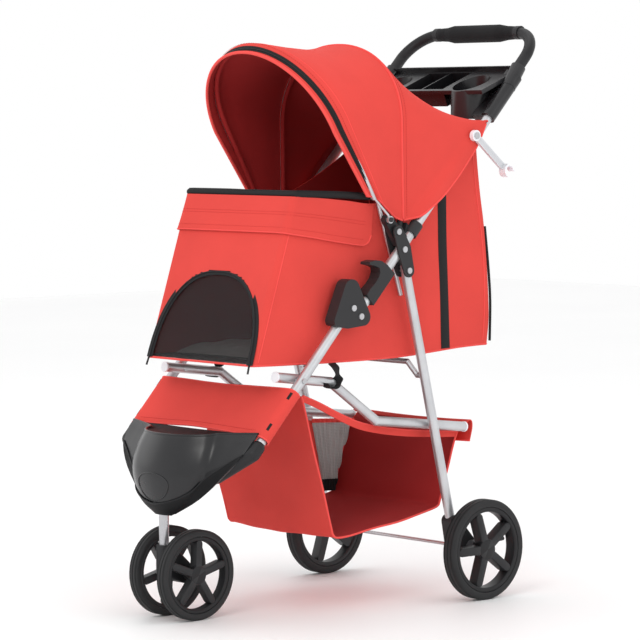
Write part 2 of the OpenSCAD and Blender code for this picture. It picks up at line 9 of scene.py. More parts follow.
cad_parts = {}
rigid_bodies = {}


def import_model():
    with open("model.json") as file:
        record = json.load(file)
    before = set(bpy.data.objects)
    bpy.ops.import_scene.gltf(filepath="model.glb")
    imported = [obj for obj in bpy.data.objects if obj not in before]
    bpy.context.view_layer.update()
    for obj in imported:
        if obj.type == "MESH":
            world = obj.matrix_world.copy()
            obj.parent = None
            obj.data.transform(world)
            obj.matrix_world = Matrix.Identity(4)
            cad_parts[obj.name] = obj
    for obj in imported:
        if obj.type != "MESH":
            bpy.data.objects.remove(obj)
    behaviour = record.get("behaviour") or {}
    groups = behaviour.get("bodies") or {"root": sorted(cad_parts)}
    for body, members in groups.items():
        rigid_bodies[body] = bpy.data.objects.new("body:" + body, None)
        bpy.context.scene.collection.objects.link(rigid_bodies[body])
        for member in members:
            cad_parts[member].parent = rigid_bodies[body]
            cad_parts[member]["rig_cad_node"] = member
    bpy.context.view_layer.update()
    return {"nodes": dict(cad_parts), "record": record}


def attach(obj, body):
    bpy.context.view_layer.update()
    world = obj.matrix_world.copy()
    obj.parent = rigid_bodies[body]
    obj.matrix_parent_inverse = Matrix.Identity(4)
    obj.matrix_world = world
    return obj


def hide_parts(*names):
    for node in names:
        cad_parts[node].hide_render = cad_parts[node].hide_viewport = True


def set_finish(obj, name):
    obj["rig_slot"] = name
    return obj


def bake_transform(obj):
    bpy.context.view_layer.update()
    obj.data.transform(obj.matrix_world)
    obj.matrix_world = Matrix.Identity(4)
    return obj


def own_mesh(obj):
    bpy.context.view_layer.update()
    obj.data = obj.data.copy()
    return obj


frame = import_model()
pi = math.pi


def place(p):
    """Side-view millimetres (x, y from the rear axle, z) to the row frame in metres."""
    p = np.asarray(p, float)
    return (p + np.array([0.0, 187.0, 0.0])) / 1000.0


# ---------------------------------------------------------------- camera, lights, world

cam = bpy.data.objects.new("camera", bpy.data.cameras.new("camera"))
bpy.context.scene.collection.objects.link(cam)
bpy.context.scene.camera = cam
cam.data.lens, cam.data.sensor_width = 170.04, 36.0
cam.data.clip_end = 60.0
az, el, roll = math.radians(48.51), math.radians(-3.92), math.radians(-0.22)
forward = Vector((-math.sin(az) * math.cos(el), math.cos(az) * math.cos(el), math.sin(el)))
right = Vector((math.cos(az), math.sin(az), 0))
up = right.cross(forward)
r2 = right * math.cos(roll) + up * math.sin(roll)
u2 = up * math.cos(roll) - right * math.sin(roll)
cam.matrix_world = Matrix(
    (
        (r2.x, u2.x, -forward.x, 3.7137),
        (r2.y, u2.y, -forward.y, -3.281),
        (r2.z, u2.z, -forward.z, 0.7991),
        (0, 0, 0, 1),
    )
)


def area_light(name, place_at, aim, size, power, color=(1, 1, 1)):
    data = bpy.data.lights.new(name, "AREA")
    data.shape, data.size, data.energy, data.color = "DISK", size, power, color
    o = bpy.data.objects.new(name, data)
    bpy.context.scene.collection.objects.link(o)
    o.location = place_at
    o.rotation_euler = (Vector(aim) - Vector(place_at)).to_track_quat("-Z", "Y").to_euler()
    return o


area_light("key", (1.6, -3.0, 3.0), (0, 0, 0.4), 1.6, 30, (1.0, 0.985, 0.96))
area_light("fill", (3.4, 0.4, 1.4), (0, 0, 0.45), 2.6, 8, (0.97, 0.985, 1.0))
area_light("top", (-0.6, 0.6, 3.6), (0, 0, 0.3), 2.4, 12)
area_light("left", (-3.0, -1.6, 1.4), (0, 0, 0.5), 2.0, 5)

world = bpy.data.worlds.new("world")
world.use_nodes = True
world.node_tree.nodes["Background"].inputs["Color"].default_value = (1, 1, 1, 1)
world.node_tree.nodes["Background"].inputs["Strength"].default_value = 1.0
bpy.context.scene.world = world
bpy.context.scene.view_settings.view_transform = "Standard"


# ---------------------------------------------------------------- materials


class Nodes:
    """A small helper round one material's node tree."""

    def __init__(self, name):
        self.m = bpy.data.materials.new(name)
        self.m.use_nodes = True
        self.t = self.m.node_tree
        self.bsdf = self.t.nodes["Principled BSDF"]

    def add(self, kind, **values):
        n = self.t.nodes.new("ShaderNode" + kind)
        for k, v in values.items():
            if k in n.inputs:
                n.inputs[k].default_value = v
            else:
                setattr(n, k, v)
        return n

    def link(self, a, out, b, into):
        self.t.links.new(a.outputs[out], b.inputs[into])

    def set(self, **values):
        for k, v in values.items():
            self.bsdf.inputs[k.replace("_", " ")].default_value = v

    def math(self, op, a, b=None, clamp=False):
        n = self.add("Math", operation=op, use_clamp=clamp)
        for i, x in enumerate((a, b)):
            if x is None:
                continue
            if isinstance(x, (int, float)):
                n.inputs[i].default_value = x
            else:
                self.t.links.new(x, n.inputs[i])
        return n.outputs[0]

    def noise(self, scale, detail=3.0, coord="Object", rough=0.55):
        c = self.add("TexCoord")
        n = self.add("TexNoise", Scale=scale, Detail=detail, Roughness=rough)
        self.link(c, coord, n, "Vector")
        return n.outputs["Fac"]

    def ramp(self, fac, stops):
        n = self.add("ValToRGB")
        e = n.color_ramp.elements
        while len(e) < len(stops):
            e.new(0.5)
        for i, (at, color) in enumerate(stops):
            e[i].position, e[i].color = at, (*color, 1)
        self.t.links.new(fac, n.inputs[0])
        return n.outputs[0]

    def bump(self, height, strength, distance, before=None):
        n = self.add("Bump", Strength=strength, Distance=distance)
        self.t.links.new(height, n.inputs["Height"])
        if before is not None:
            self.t.links.new(before, n.inputs["Normal"])
        return n.outputs[0]

    def normal(self, out):
        self.t.links.new(out, self.bsdf.inputs["Normal"])

    def color(self, out):
        self.t.links.new(out, self.bsdf.inputs["Base Color"])

    def rough(self, fac, low, high):
        n = self.add("MapRange")
        n.inputs["To Min"].default_value, n.inputs["To Max"].default_value = low, high
        self.t.links.new(fac, n.inputs["Value"])
        self.t.links.new(n.outputs[0], self.bsdf.inputs["Roughness"])


def scaled(c, k):
    return tuple(min(1.0, x * k) for x in c)


def cloth(name, color, period=0.0016, bump=0.25, rough=0.82, sheen=0.25, tone=0.1):
    """Plain weave laid along the UVs, which are in metres, with faint yarn and shade variation."""
    n = Nodes(name)
    c = n.add("TexCoord")
    waves = []
    for axis in ("X", "Y"):
        w = n.add("TexWave", wave_type="BANDS", bands_direction=axis, Scale=2 * pi / (20 * period))
        w.inputs["Distortion"].default_value = 0.35
        w.inputs["Detail Scale"].default_value = 3.0
        n.link(c, "UV", w, "Vector")
        waves.append(w.outputs["Fac"])
    weave = n.math("MULTIPLY", waves[0], waves[1])
    broad = n.noise(7.0, 4.0)
    fine = n.noise(900.0, 2.0)
    mixed = n.math("ADD", n.math("MULTIPLY", broad, 0.7), n.math("MULTIPLY", fine, 0.3))
    shade = n.math("ADD", mixed, n.math("MULTIPLY", weave, 0.1))
    n.color(
        n.ramp(
            shade,
            [(0.3, scaled(color, 1 - tone)), (0.52, color), (0.8, scaled(color, 1 + tone))],
        )
    )
    n.rough(fine, rough - 0.06, rough + 0.08)
    soft = n.bump(n.noise(38.0, 4.0), 0.12, 0.003)
    n.normal(n.bump(weave, bump, 0.0004, soft))
    n.set(Sheen_Weight=sheen, Sheen_Roughness=0.45, Specular_IOR_Level=0.25)
    n.bsdf.inputs["Sheen Tint"].default_value = (*scaled(color, 1.25), 1)
    return n.m


def mesh_cloth(name, color, alpha):
    n = Nodes(name)
    c = n.add("TexCoord")
    w = []
    for axis in ("X", "Y"):
        t = n.add("TexWave", wave_type="BANDS", bands_direction=axis, Scale=2 * pi / (20 * 0.0026))
        n.link(c, "UV", t, "Vector")
        w.append(t.outputs["Fac"])
    grid = n.math("MAXIMUM", w[0], w[1])
    n.color(
        n.ramp(n.math("ADD", grid, n.noise(25.0)), [(0.5, scaled(color, 0.6)), (1.3, scaled(color, 1.25))])
    )
    n.normal(n.bump(grid, 0.5, 0.0006))
    n.set(Roughness=0.75, Specular_IOR_Level=0.3, Alpha=alpha)
    n.m.surface_render_method = "DITHERED"
    return n.m


def plastic(name, color, rough=0.45, grain=0.08, scale=900.0, coat=0.0, dust=0.05, spec=0.5):
    """Moulded plastic: fine grain, uneven gloss, and slightly paler rubbed edges."""
    n = Nodes(name)
    broad = n.noise(14.0, 5.0)
    grainy = n.noise(scale, 2.0)
    edge = n.add("NewGeometry").outputs["Pointiness"]
    worn = n.math("ADD", n.math("MULTIPLY", edge, 1.0), n.math("MULTIPLY", broad, dust * 2))
    n.color(
        n.ramp(
            worn,
            [(0.47, scaled(color, 0.86)), (0.54, color), (0.66, tuple(c * 1.3 + 0.012 for c in color))],
        )
    )
    n.rough(broad, rough - 0.07, rough + 0.09)
    soft = n.bump(broad, 0.05, 0.002)
    n.normal(n.bump(grainy, grain, 0.0003, soft))
    n.set(Coat_Weight=coat, Coat_Roughness=0.18, Specular_IOR_Level=spec)
    return n.m


def metal(name, color, rough, metallic=0.85, streak=60.0):
    """Painted or plated tube: fine long streaks and a little tarnish."""
    n = Nodes(name)
    c = n.add("TexCoord")
    m = n.add("Mapping")
    m.inputs["Scale"].default_value = (1.0, 0.12, 0.12)
    n.link(c, "Object", m, "Vector")
    s = n.add("TexNoise", Scale=streak * 10, Detail=4.0)
    n.link(m, "Vector", s, "Vector")
    blot = n.noise(20.0, 5.0)
    n.color(n.ramp(blot, [(0.3, scaled(color, 0.86)), (0.6, color), (0.85, scaled(color, 1.08))]))
    n.rough(s.outputs["Fac"], rough - 0.08, rough + 0.12)
    n.normal(n.bump(s.outputs["Fac"], 0.06, 0.0004))
    n.set(Metallic=metallic, Specular_IOR_Level=0.5)
    return n.m


RED = (0.71, 0.062, 0.05)
M = {
    "red": cloth("red_fabric", RED),
    # painted shade: a darker copy of the red fabric for the inner faces of hood, cabin and basket and for the bow
    # channels
    "red_shaded": cloth("red_painted_shade", (0.36, 0.02, 0.02), rough=0.88, sheen=0.1),
    "red_edge": cloth("red_binding", (0.85, 0.085, 0.075), period=0.0011, bump=0.3),
    "black_web": cloth(
        "black_webbing", (0.014, 0.014, 0.015), period=0.0022, bump=0.5, rough=0.75, sheen=0.15
    ),
    "stitch": cloth("red_thread", (0.5, 0.02, 0.02), period=0.0008, rough=0.7),
    "mesh": mesh_cloth("grey_mesh", (0.42, 0.43, 0.42), 0.88),
    "door_mesh": mesh_cloth("door_mesh", (0.02, 0.02, 0.021), 0.4),
    "cushion": cloth("cushion_fleece", (0.3, 0.28, 0.27), period=0.003, bump=0.3, sheen=0.6),
    "black": plastic("black_plastic", (0.013, 0.013, 0.0145), 0.44, 0.12, spec=0.25),
    "gloss": plastic("gloss_plastic", (0.010, 0.010, 0.0115), 0.28, 0.04, coat=0.12, spec=0.35),
    "matt": plastic("matt_plastic", (0.007, 0.007, 0.0078), 0.5, 0.1, spec=0.12),
    "wheel": plastic("wheel_plastic", (0.014, 0.014, 0.0155), 0.4, 0.1, spec=0.28),
    "pedal": plastic("pedal_plastic", (0.07, 0.07, 0.075), 0.4, 0.1, spec=0.3),
    "pale": plastic("pale_plastic", (0.66, 0.67, 0.7), 0.3, 0.04, coat=0.2),
    "board": plastic("floor_board", (0.03, 0.03, 0.03), 0.7, 0.2),
    "tyre": plastic("tyre_rubber", (0.013, 0.013, 0.014), 0.62, 0.3, 1400.0, dust=0.12, spec=0.22),
    "grip": plastic("grip_foam", (0.014, 0.014, 0.015), 0.68, 0.3, 2200.0, spec=0.1),
    "tube": metal("silver_tube", (0.62, 0.63, 0.65), 0.36, 0.78),
    "bow": metal("bow_tube", (0.58, 0.59, 0.61), 0.38, 0.78),
    "steel": metal("plated_steel", (0.55, 0.55, 0.57), 0.28, 0.8),
}
LOOK = {
    "frame_tube": "tube",
    "bow_tube": "bow",
    "plated_steel": "steel",
    "black_plastic": "black",
    "gloss_plastic": "gloss",
    "wheel_plastic": "wheel",
    "pedal_plastic": "pedal",
    "pale_plastic": "pale",
    "tyre": "tyre",
    "grip_rubber": "grip",
    "red_fabric": "red",
    "cushion_fabric": "cushion",
    "floor_board": "board",
    "grey_mesh": "mesh",
    "black_webbing": "black_web",
}
SLOT_OF = {s["node"]: s["material_slot"] for s in frame["record"]["subparts"]}
ROUNDED = {
    "tray": 1.6, "fold_housing": 0.9, "connector_l": 0.7, "connector_r": 0.7, "fold_lock": 1.2, "brake": 0.9,
    "storage": 0.8, "canopy_brackets": 0.7, "canopy_clips": 0.6, "caster_fork": 1.2
}
for name, node in frame["nodes"].items():
    node.data.materials.clear()
    node.data.materials.append(M[LOOK[SLOT_OF[name]]])
    for p in node.data.polygons:
        p.use_smooth = True
    width = next((w for k, w in ROUNDED.items() if name.startswith(k)), 0)
    if width:
        b = node.modifiers.new("soft_edges", "BEVEL")
        b.width, b.segments, b.limit_method, b.angle_limit = width / 1000, 2, "ANGLE", math.radians(38)
        b.harden_normals = True
    else:
        s = node.modifiers.new("smooth", "WEIGHTED_NORMAL")
        s.keep_sharp = True
    node.data.set_sharp_from_angle(angle=math.radians(38))


# ---------------------------------------------------------------- mesh helpers


def finish_mesh(name, verts, faces, mat, uvs=None, smooth=True, sharp=None):
    me = bpy.data.meshes.new(name)
    me.from_pydata([tuple(v) for v in verts], [], [tuple(f) for f in faces])
    me.validate()
    if uvs is not None:
        layer = me.uv_layers.new(name="UVMap")
        idx = np.zeros(len(me.loops), int)
        me.loops.foreach_get("vertex_index", idx)
        layer.data.foreach_set("uv", np.asarray(uvs, np.float32)[idx].ravel())
    me.polygons.foreach_set("use_smooth", [smooth] * len(me.polygons))
    if sharp:
        me.set_sharp_from_angle(angle=math.radians(sharp))
    me.materials.append(M[mat] if isinstance(mat, str) else mat)
    o = bpy.data.objects.new(name, me)
    bpy.context.scene.collection.objects.link(o)
    return o


def grid_normals(g):
    du = np.gradient(g, axis=1)
    dv = np.gradient(g, axis=0)
    n = np.cross(du, dv)
    return n / np.maximum(np.linalg.norm(n, axis=2, keepdims=True), 1e-9)


def grid(fn, nu, nv, u=(0.0, 1.0), v=(0.0, 1.0), off=0.0):
    """Points of fn over a patch, in millimetres, moved off along the surface's normal."""
    a, b = np.meshgrid(np.linspace(*u, nu + 1), np.linspace(*v, nv + 1))
    g = np.stack(fn(a, b), axis=2)
    return g + grid_normals(g) * off if off else g


def arc_uv(g):
    us = np.concatenate(
        [np.zeros((g.shape[0], 1)), np.cumsum(np.linalg.norm(np.diff(g, axis=1), axis=2), axis=1)], axis=1
    )
    vs = np.concatenate(
        [np.zeros((1, g.shape[1])), np.cumsum(np.linalg.norm(np.diff(g, axis=0), axis=2), axis=0)], axis=0
    )
    us -= us[:, -1:] / 2
    return np.stack([us, vs], axis=2) / 1000.0


def cloth_from(name, g, thick, mat, hole=None, declare=None, shade_inside=None):
    """A closed sheet of cloth from a grid of points, thick millimetres through; hole(points) masks an opening."""
    nv, nu = g.shape[0] - 1, g.shape[1] - 1
    n = grid_normals(g)
    uv = arc_uv(g).reshape(-1, 2)
    outer, inner = place(g + n * thick / 2).reshape(-1, 3), place(g - n * thick / 2).reshape(-1, 3)
    count = len(outer)
    idx = np.arange(count).reshape(nv + 1, nu + 1)
    quads = np.stack([idx[:-1, :-1], idx[:-1, 1:], idx[1:, 1:], idx[1:, :-1]], axis=2)
    keep = np.ones((nv, nu), bool)
    if hole is not None:
        centre = (g[:-1, :-1] + g[:-1, 1:] + g[1:, 1:] + g[1:, :-1]) / 4
        keep = ~hole(centre)
    q = quads[keep]
    edges = {}
    for f in q:
        for a, b in zip(f, np.roll(f, -1)):
            if (b, a) in edges:
                del edges[(b, a)]
            else:
                edges[(a, b)] = True
    faces = [tuple(f) for f in q] + [tuple(x + count for x in f[::-1]) for f in q]
    faces += [(b, a, a + count, b + count) for a, b in edges]
    o = finish_mesh(name, np.concatenate([outer, inner]), faces, mat, np.concatenate([uv, uv]), sharp=50)
    # the inner faces take the darker red, painted shade for the inside of the cloth
    if shade_inside:
        o.data.materials.append(M[shade_inside])
        index = np.zeros(len(o.data.polygons), int)
        index[len(q) : 2 * len(q)] = 1
        o.data.polygons.foreach_set("material_index", index)
    bm = bmesh.new()
    bm.from_mesh(o.data)
    bmesh.ops.delete(bm, geom=[v for v in bm.verts if not v.link_faces], context="VERTS")
    bm.to_mesh(o.data)
    bm.free()
    if declare:
        mid = place(g)
        w = float(np.linalg.norm(np.diff(mid, axis=1), axis=2).sum(1).max())
        l = float(np.linalg.norm(np.diff(mid, axis=0), axis=2).sum(0).max())
        w, l = round(w + 0.0005, 3), round(l + 0.0005, 3)
    return o


def frames(path, hint):
    """Tangent, side and normal along a path of points, with the normal near hint."""
    t = np.gradient(path, axis=0)
    t /= np.maximum(np.linalg.norm(t, axis=1, keepdims=True), 1e-9)
    h = np.broadcast_to(np.asarray(hint, float), path.shape)
    n = h - t * (h * t).sum(1, keepdims=True)
    n /= np.maximum(np.linalg.norm(n, axis=1, keepdims=True), 1e-9)
    return t, np.cross(t, n), n


def sweep(name, path, section, mat, hint=(0, 0, 1), closed_ends=True, smooth=True, sharp=40):
    """Sweeps a closed [side, normal] section in millimetres along a path."""
    path, section = np.asarray(path, float), np.asarray(section, float)
    _, s, n = frames(path, hint)
    pts = path[:, None] + section[None, :, :1] * s[:, None] + section[None, :, 1:] * n[:, None]
    k, m = len(path), len(section)
    idx = np.arange(k * m).reshape(k, m)
    faces = []
    for i in range(m):
        j = (i + 1) % m
        faces += [tuple(f) for f in np.stack([idx[:-1, i], idx[:-1, j], idx[1:, j], idx[1:, i]], axis=1)]
    if closed_ends:
        faces += [tuple(idx[0][::-1]), tuple(idx[-1])]
    along = np.concatenate([[0], np.cumsum(np.linalg.norm(np.diff(path, axis=0), axis=1))])
    around = np.concatenate([[0], np.cumsum(np.linalg.norm(np.diff(section, axis=0), axis=1))])
    uv = np.stack(np.broadcast_arrays(around[None, :], along[:, None]), axis=2) / 1000.0
    return finish_mesh(name, place(pts).reshape(-1, 3), faces, mat, uv.reshape(-1, 2), smooth, sharp)


def round_section(r, n=10, flat=1.0):
    a = np.linspace(0, 2 * pi, n, endpoint=False)
    return np.stack([r * np.cos(a), flat * r * np.sin(a)], axis=1)


def strap_section(w, t):
    return np.array([[-w, -t], [w, -t], [w, t * 0.2], [w * 0.93, t], [-w * 0.93, t], [-w, t * 0.2]]) / 2


def spline(points, t):
    """A uniform Catmull-Rom curve through points, at t from 0 to 1."""
    p = np.asarray(points, float)
    k = len(p) - 1
    x = np.clip(np.asarray(t, float), 0, 1) * k
    i = np.clip(x.astype(int), 0, k - 1)
    f = (x - i)[..., None]
    q = np.concatenate([[2 * p[0] - p[1]], p, [2 * p[-1] - p[-2]]])
    a, b, c, d = q[i], q[i + 1], q[i + 2], q[i + 3]
    return 0.5 * (2 * b + (c - a) * f + (2 * a - 5 * b + 4 * c - d) * f**2 + (3 * b - a - 3 * c + d) * f**3)


def stitches(name, path, normals, mat="stitch", step=4.2, size=2.6, r=0.42, lift=0.2):
    """A row of short threads along a path."""
    path, normals = np.asarray(path, float), np.asarray(normals, float)
    along = np.concatenate([[0], np.cumsum(np.linalg.norm(np.diff(path, axis=0), axis=1))])
    verts, faces, uvs = [], [], []
    ring = round_section(r, 5)
    for s in np.arange(step, along[-1] - step, step):
        ends = [
            np.array([np.interp(s + d, along, path[:, k]) for k in range(3)])
            for d in (-size / 2, size / 2)
        ]
        n = np.array([np.interp(s, along, normals[:, k]) for k in range(3)])
        t = ends[1] - ends[0]
        t /= max(np.linalg.norm(t), 1e-9)
        b = np.cross(t, n)
        base = len(verts)
        for j, (e, k) in enumerate(((ends[0], 0.35), ((ends[0] + ends[1]) / 2, 1.0), (ends[1], 0.35))):
            for x, y in ring:
                verts.append(e + n * (lift + (r * 0.5 if j == 1 else -r * 0.4)) + b * x * k + n * y * k)
                uvs.append((x / 1000, s / 1000))
        for j in (0, 1):
            for i in range(5):
                a, c = base + j * 5 + i, base + j * 5 + (i + 1) % 5
                faces.append((a, c, c + 5, a + 5))
    return finish_mesh(name, place(np.array(verts)), faces, mat, np.array(uvs))


def ripple(x, y, z, size=1.0):
    """Small fixed waves that taut cloth shows."""
    return size * (
        0.5 * np.sin(x * 0.031 + z * 0.043 + 0.6)
        + 0.35 * np.sin(y * 0.052 - z * 0.027 + 1.9)
        + 0.25 * np.sin(x * 0.083 + y * 0.061 + z * 0.018)
    )


def ease(t):
    t = np.clip(t, 0, 1)
    return t * t * (3 - 2 * t)


# ---------------------------------------------------------------- canopy

REAR_Y = -139.0
# knot, then foot, spring and crown of the arch (each y, z), its half width and its roundness
HOOPS = [
    (0.0, -211, 666, -282, 768, -350, 896, 147, 2.0),
    (0.085, -195, 664, -269, 774, -338, 901, 147, 2.0),
    (0.13, -190, 659, -263, 777.5, -333, 909.5, 151, 2.0),
    (0.18, -182, 652, -255, 782, -324, 909.5, 151.5, 2.0),
    (0.45, -168, 641, -216, 782.5, -262, 903, 150, 2.05),
    (0.75, -153, 630.5, -177, 783.5, -198, 901.5, 149.5, 2.1),
    (1.0, -138, 625.5, REAR_Y, 784, REAR_Y, 909.5, 152, 2.15),
]


def through(knots, rows, v):
    """Rows of numbers eased between uneven knots."""
    k, r = np.asarray(knots, float), np.asarray(rows, float)
    slope = np.gradient(r, k, axis=0)
    i = np.clip(np.searchsorted(k, v, side="right") - 1, 0, len(k) - 2)
    h = (k[i + 1] - k[i])[..., None]
    t = (v - k[i])[..., None] / h
    rise = t * t * (3 - 2 * t)
    return r[i] + (r[i + 1] - r[i]) * rise + h * t * (1 - t) * ((1 - t) * slope[i] - t * slope[i + 1])


def hoop(u, row):
    """An arch: u is 0 at the right foot, 0.5 at the crown and 1 at the left foot."""
    foot_y, foot_z, spring_y, spring_z, crown_y, crown_z, half, power = np.moveaxis(np.asarray(row, float), -1, 0)
    t = 1 - np.abs(2 * u - 1)
    leg = np.clip(t / 0.33, 0, 1)
    turn = np.clip((t - 0.33) / 0.67, 0, 1) * pi / 2
    rise = np.sin(turn) ** (2 / power)
    x = np.where(u < 0.5, -1.0, 1.0) * half * np.abs(np.cos(turn)) ** (2 / power)
    y = foot_y + (spring_y - foot_y) * leg + (crown_y - spring_y) * rise
    return x, y, foot_z + (spring_z - foot_z) * leg + (crown_z - spring_z) * rise


def hoop_path(half, low, top, corner, n=14):
    """A bow's centre line across and up its own plane: straight sides, round corners, straight top."""
    a = np.linspace(0, pi / 2, n)
    x = np.concatenate([[half], half - corner + corner * np.cos(a)])
    h = np.concatenate([[low], top - corner + corner * np.sin(a)])
    return np.concatenate([x, -x[::-1]]), np.concatenate([h, h[::-1]])


def rear_arch(u):
    return hoop(u, HOOPS[-1][1:])


def front_hood(u, v):
    """Cloth from the mouth (v = 0), over the front bow, back to the second bow (v = 1)."""
    u, v = np.broadcast_arrays(np.asarray(u, float), np.asarray(v, float))
    x, y, z = hoop(u, through([h[0] for h in HOOPS], [h[1:] for h in HOOPS], v))
    t = 1 - np.abs(2 * u - 1)
    top = ease((t - 0.55) / 0.3)
    slack = np.clip((v - 0.2) / 0.8, 0, 1)
    r = ripple(x, y, z, 0.8) * 4 * slack * (1 - slack)
    return x + np.sign(x) * r * (1 - top), y, z + r * top


def rail_height(y):
    return 552 + (y + 175) * 1.0587


def rear_hood(u, v):
    """Cloth from the second bow (v = 0) down to the straight hem between the handle tubes (v = 1)."""
    x0, y0, z0 = rear_arch(u)
    t = 1 - np.abs(2 * u - 1)
    side = np.where(u < 0.5, -1.0, 1.0)
    x1 = side * 167.2 * (1 - ease((t - 0.4) / 0.6) ** 1.0)
    z1 = 784 + 0.5 * ease(t / 0.4)
    fall = 1 - (1 - v) ** 1.7
    x = x0 + (x1 - x0) * v
    y = y0 + (37.5 - y0) * v
    z = z0 + (z1 - z0) * fall
    edge = spline(
        [[REAR_Y, 625.5], [-113, 632], [-91, 645], [-64, 663], [-35, 689], [-8, 718], [17, 749], [36, 784]], v
    )
    w = np.clip(1 - t / 0.5, 0, 1) ** 1.3
    y = y + w * (edge[..., 0] - (REAR_Y + (37.5 - REAR_Y) * v))
    z = z + w * (edge[..., 1] - (625.5 + (784 - 625.5) * fall))
    low = ease((rail_height(y) + 34 - z) / 30) * ease((y + 137) / 20)
    x = np.where(np.abs(x) < 167, x + side * (167.0 - np.abs(x)) * low, x)
    top = ease((t - 0.55) / 0.3)
    sag = 4 * v * (1 - v)
    z = z - sag * 7 * top + sag * ripple(x, y, z, 0.9) * top
    x = x + side * sag * ripple(x, y, z, 0.7) * (1 - top) * (1 - low)
    return x, y, z


g = grid(front_hood, 120, 34)
hood_front = cloth_from(
    "hood_front", g, 2.0, "red", declare=("stretched", ["canopy_bow_front", "canopy_bow_rear"]),
    shade_inside="red_shaded"
)
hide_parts("canopy_front")
g = grid(rear_hood, 120, 40, v=(0.004, 1.0))
hood_rear = cloth_from(
    "hood_rear", g, 2.0, "red", declare=("stretched", ["canopy_bow_rear", "handle_tube_left"]),
    shade_inside="red_shaded"
)
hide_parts("canopy_rear")
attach(hood_rear, "handle")

hood_trim = []


def edge_line(fn, u, v, off=0.0, n=160):
    """A line on a surface between two (u, v) points, with its normals."""
    a, b = np.linspace(*u, n), np.linspace(*v, n)
    e = 1e-3
    p = np.stack(fn(a, b), axis=1)
    du = np.stack(fn(np.clip(a + e, 0, 1), b), axis=1) - np.stack(fn(np.clip(a - e, 0, 1), b), axis=1)
    dv = np.stack(fn(a, np.clip(b + e, 0, 1)), axis=1) - np.stack(fn(a, np.clip(b - e, 0, 1)), axis=1)
    m = np.cross(du, dv)
    m /= np.maximum(np.linalg.norm(m, axis=1, keepdims=True), 1e-9)
    return p + m * off, m


def piping(name, r, fn, u, v, off=0.0, sides=8, mat="red_edge", n=160):
    """A round cord of radius r along a line on a surface."""
    p, m = edge_line(fn, u, v, off, n)
    return sweep(name, p, round_section(r, sides), mat, hint=m)


hood_trim.append(piping("hood_mouth_binding", 2.6, front_hood, (0, 1), (0, 0), sides=10))
g = grid(front_hood, 120, 3, v=(0.05, 0.108), off=1.6)
hood_trim.append(cloth_from("hood_zip_tape", g, 1.0, "black_web"))
hood_trim.append(piping("hood_zip_teeth", 1.0, front_hood, (0.002, 0.998), (0.08, 0.08), 2.3, mat="black"))
hood_trim.append(stitches("hood_stitch_front", *edge_line(front_hood, (0.002, 0.998), (0.135, 0.135), 1.1)))
hood_trim.append(piping("hood_channel_seam", 0.8, front_hood, (0.002, 0.998), (0.19, 0.19), 0.9, sides=6))
bow_seam = piping("hood_bow_seam", 2.0, front_hood, (0.002, 0.998), (0.985, 0.985), 1.0)
bow_stitch = stitches("hood_stitch_rear", *edge_line(rear_hood, (0.002, 0.998), (0.035, 0.035), 1.1))
for o in hood_trim:
    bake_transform(o)
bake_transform(hood_front)
rear_trim = [bow_seam, bow_stitch]
rear_trim.append(piping("hood_hem_right", 1.9, rear_hood, (0, 0), (0.004, 1.0), n=60))
rear_trim.append(piping("hood_hem_left", 1.9, rear_hood, (1, 1), (0.004, 1.0), n=60))
rear_trim.append(piping("hood_hem_back", 1.9, rear_hood, (0.0, 1.0), (1, 1), n=120))
rear_trim.append(stitches("hood_stitch_back", *edge_line(rear_hood, (0.26, 0.74), (0.95, 0.95), 1.1, n=120)))
for o in rear_trim:
    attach(o, "handle")
for u in (0, 1):
    o = piping("hood_foot_hem_" + ("left" if u else "right"), 1.8, front_hood, (u, u), (0.0, 0.985), n=30)
    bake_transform(o)

# the channels that hide the two bows, in the darker red of painted shade
BOW_PIVOT, BOW_LEAN = (-178, 628), math.radians(119)
x, h = hoop_path(144.8, 52, 314.8, 140.8)
path = np.stack([x, BOW_PIVOT[0] + h * math.cos(BOW_LEAN), BOW_PIVOT[1] + h * math.sin(BOW_LEAN)], axis=1)
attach(sweep("hood_front_sleeve", path, round_section(4.5, 10), "red_shaded", hint=(0, 1, 0)), "canopy_bow")
x, h = hoop_path(143, 664, 899, 116)
path = np.stack([x, 0 * x + REAR_Y, h], axis=1)
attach(sweep("hood_rear_sleeve", path, round_section(3.9, 10), "red_shaded", hint=(0, 1, 0)), "handle")

# ---------------------------------------------------------------- cabin

RIM = [[-355, 667], [-301, 664], [-247, 659], [-187, 653.5], [-130, 668], [-70, 695], [-10, 729], [46, 768]]
REAR = [[72, 414], [76.5, 450], [76.5, 486], [73, 540], [66, 610], [57, 665], [50, 720], [46, 768]]


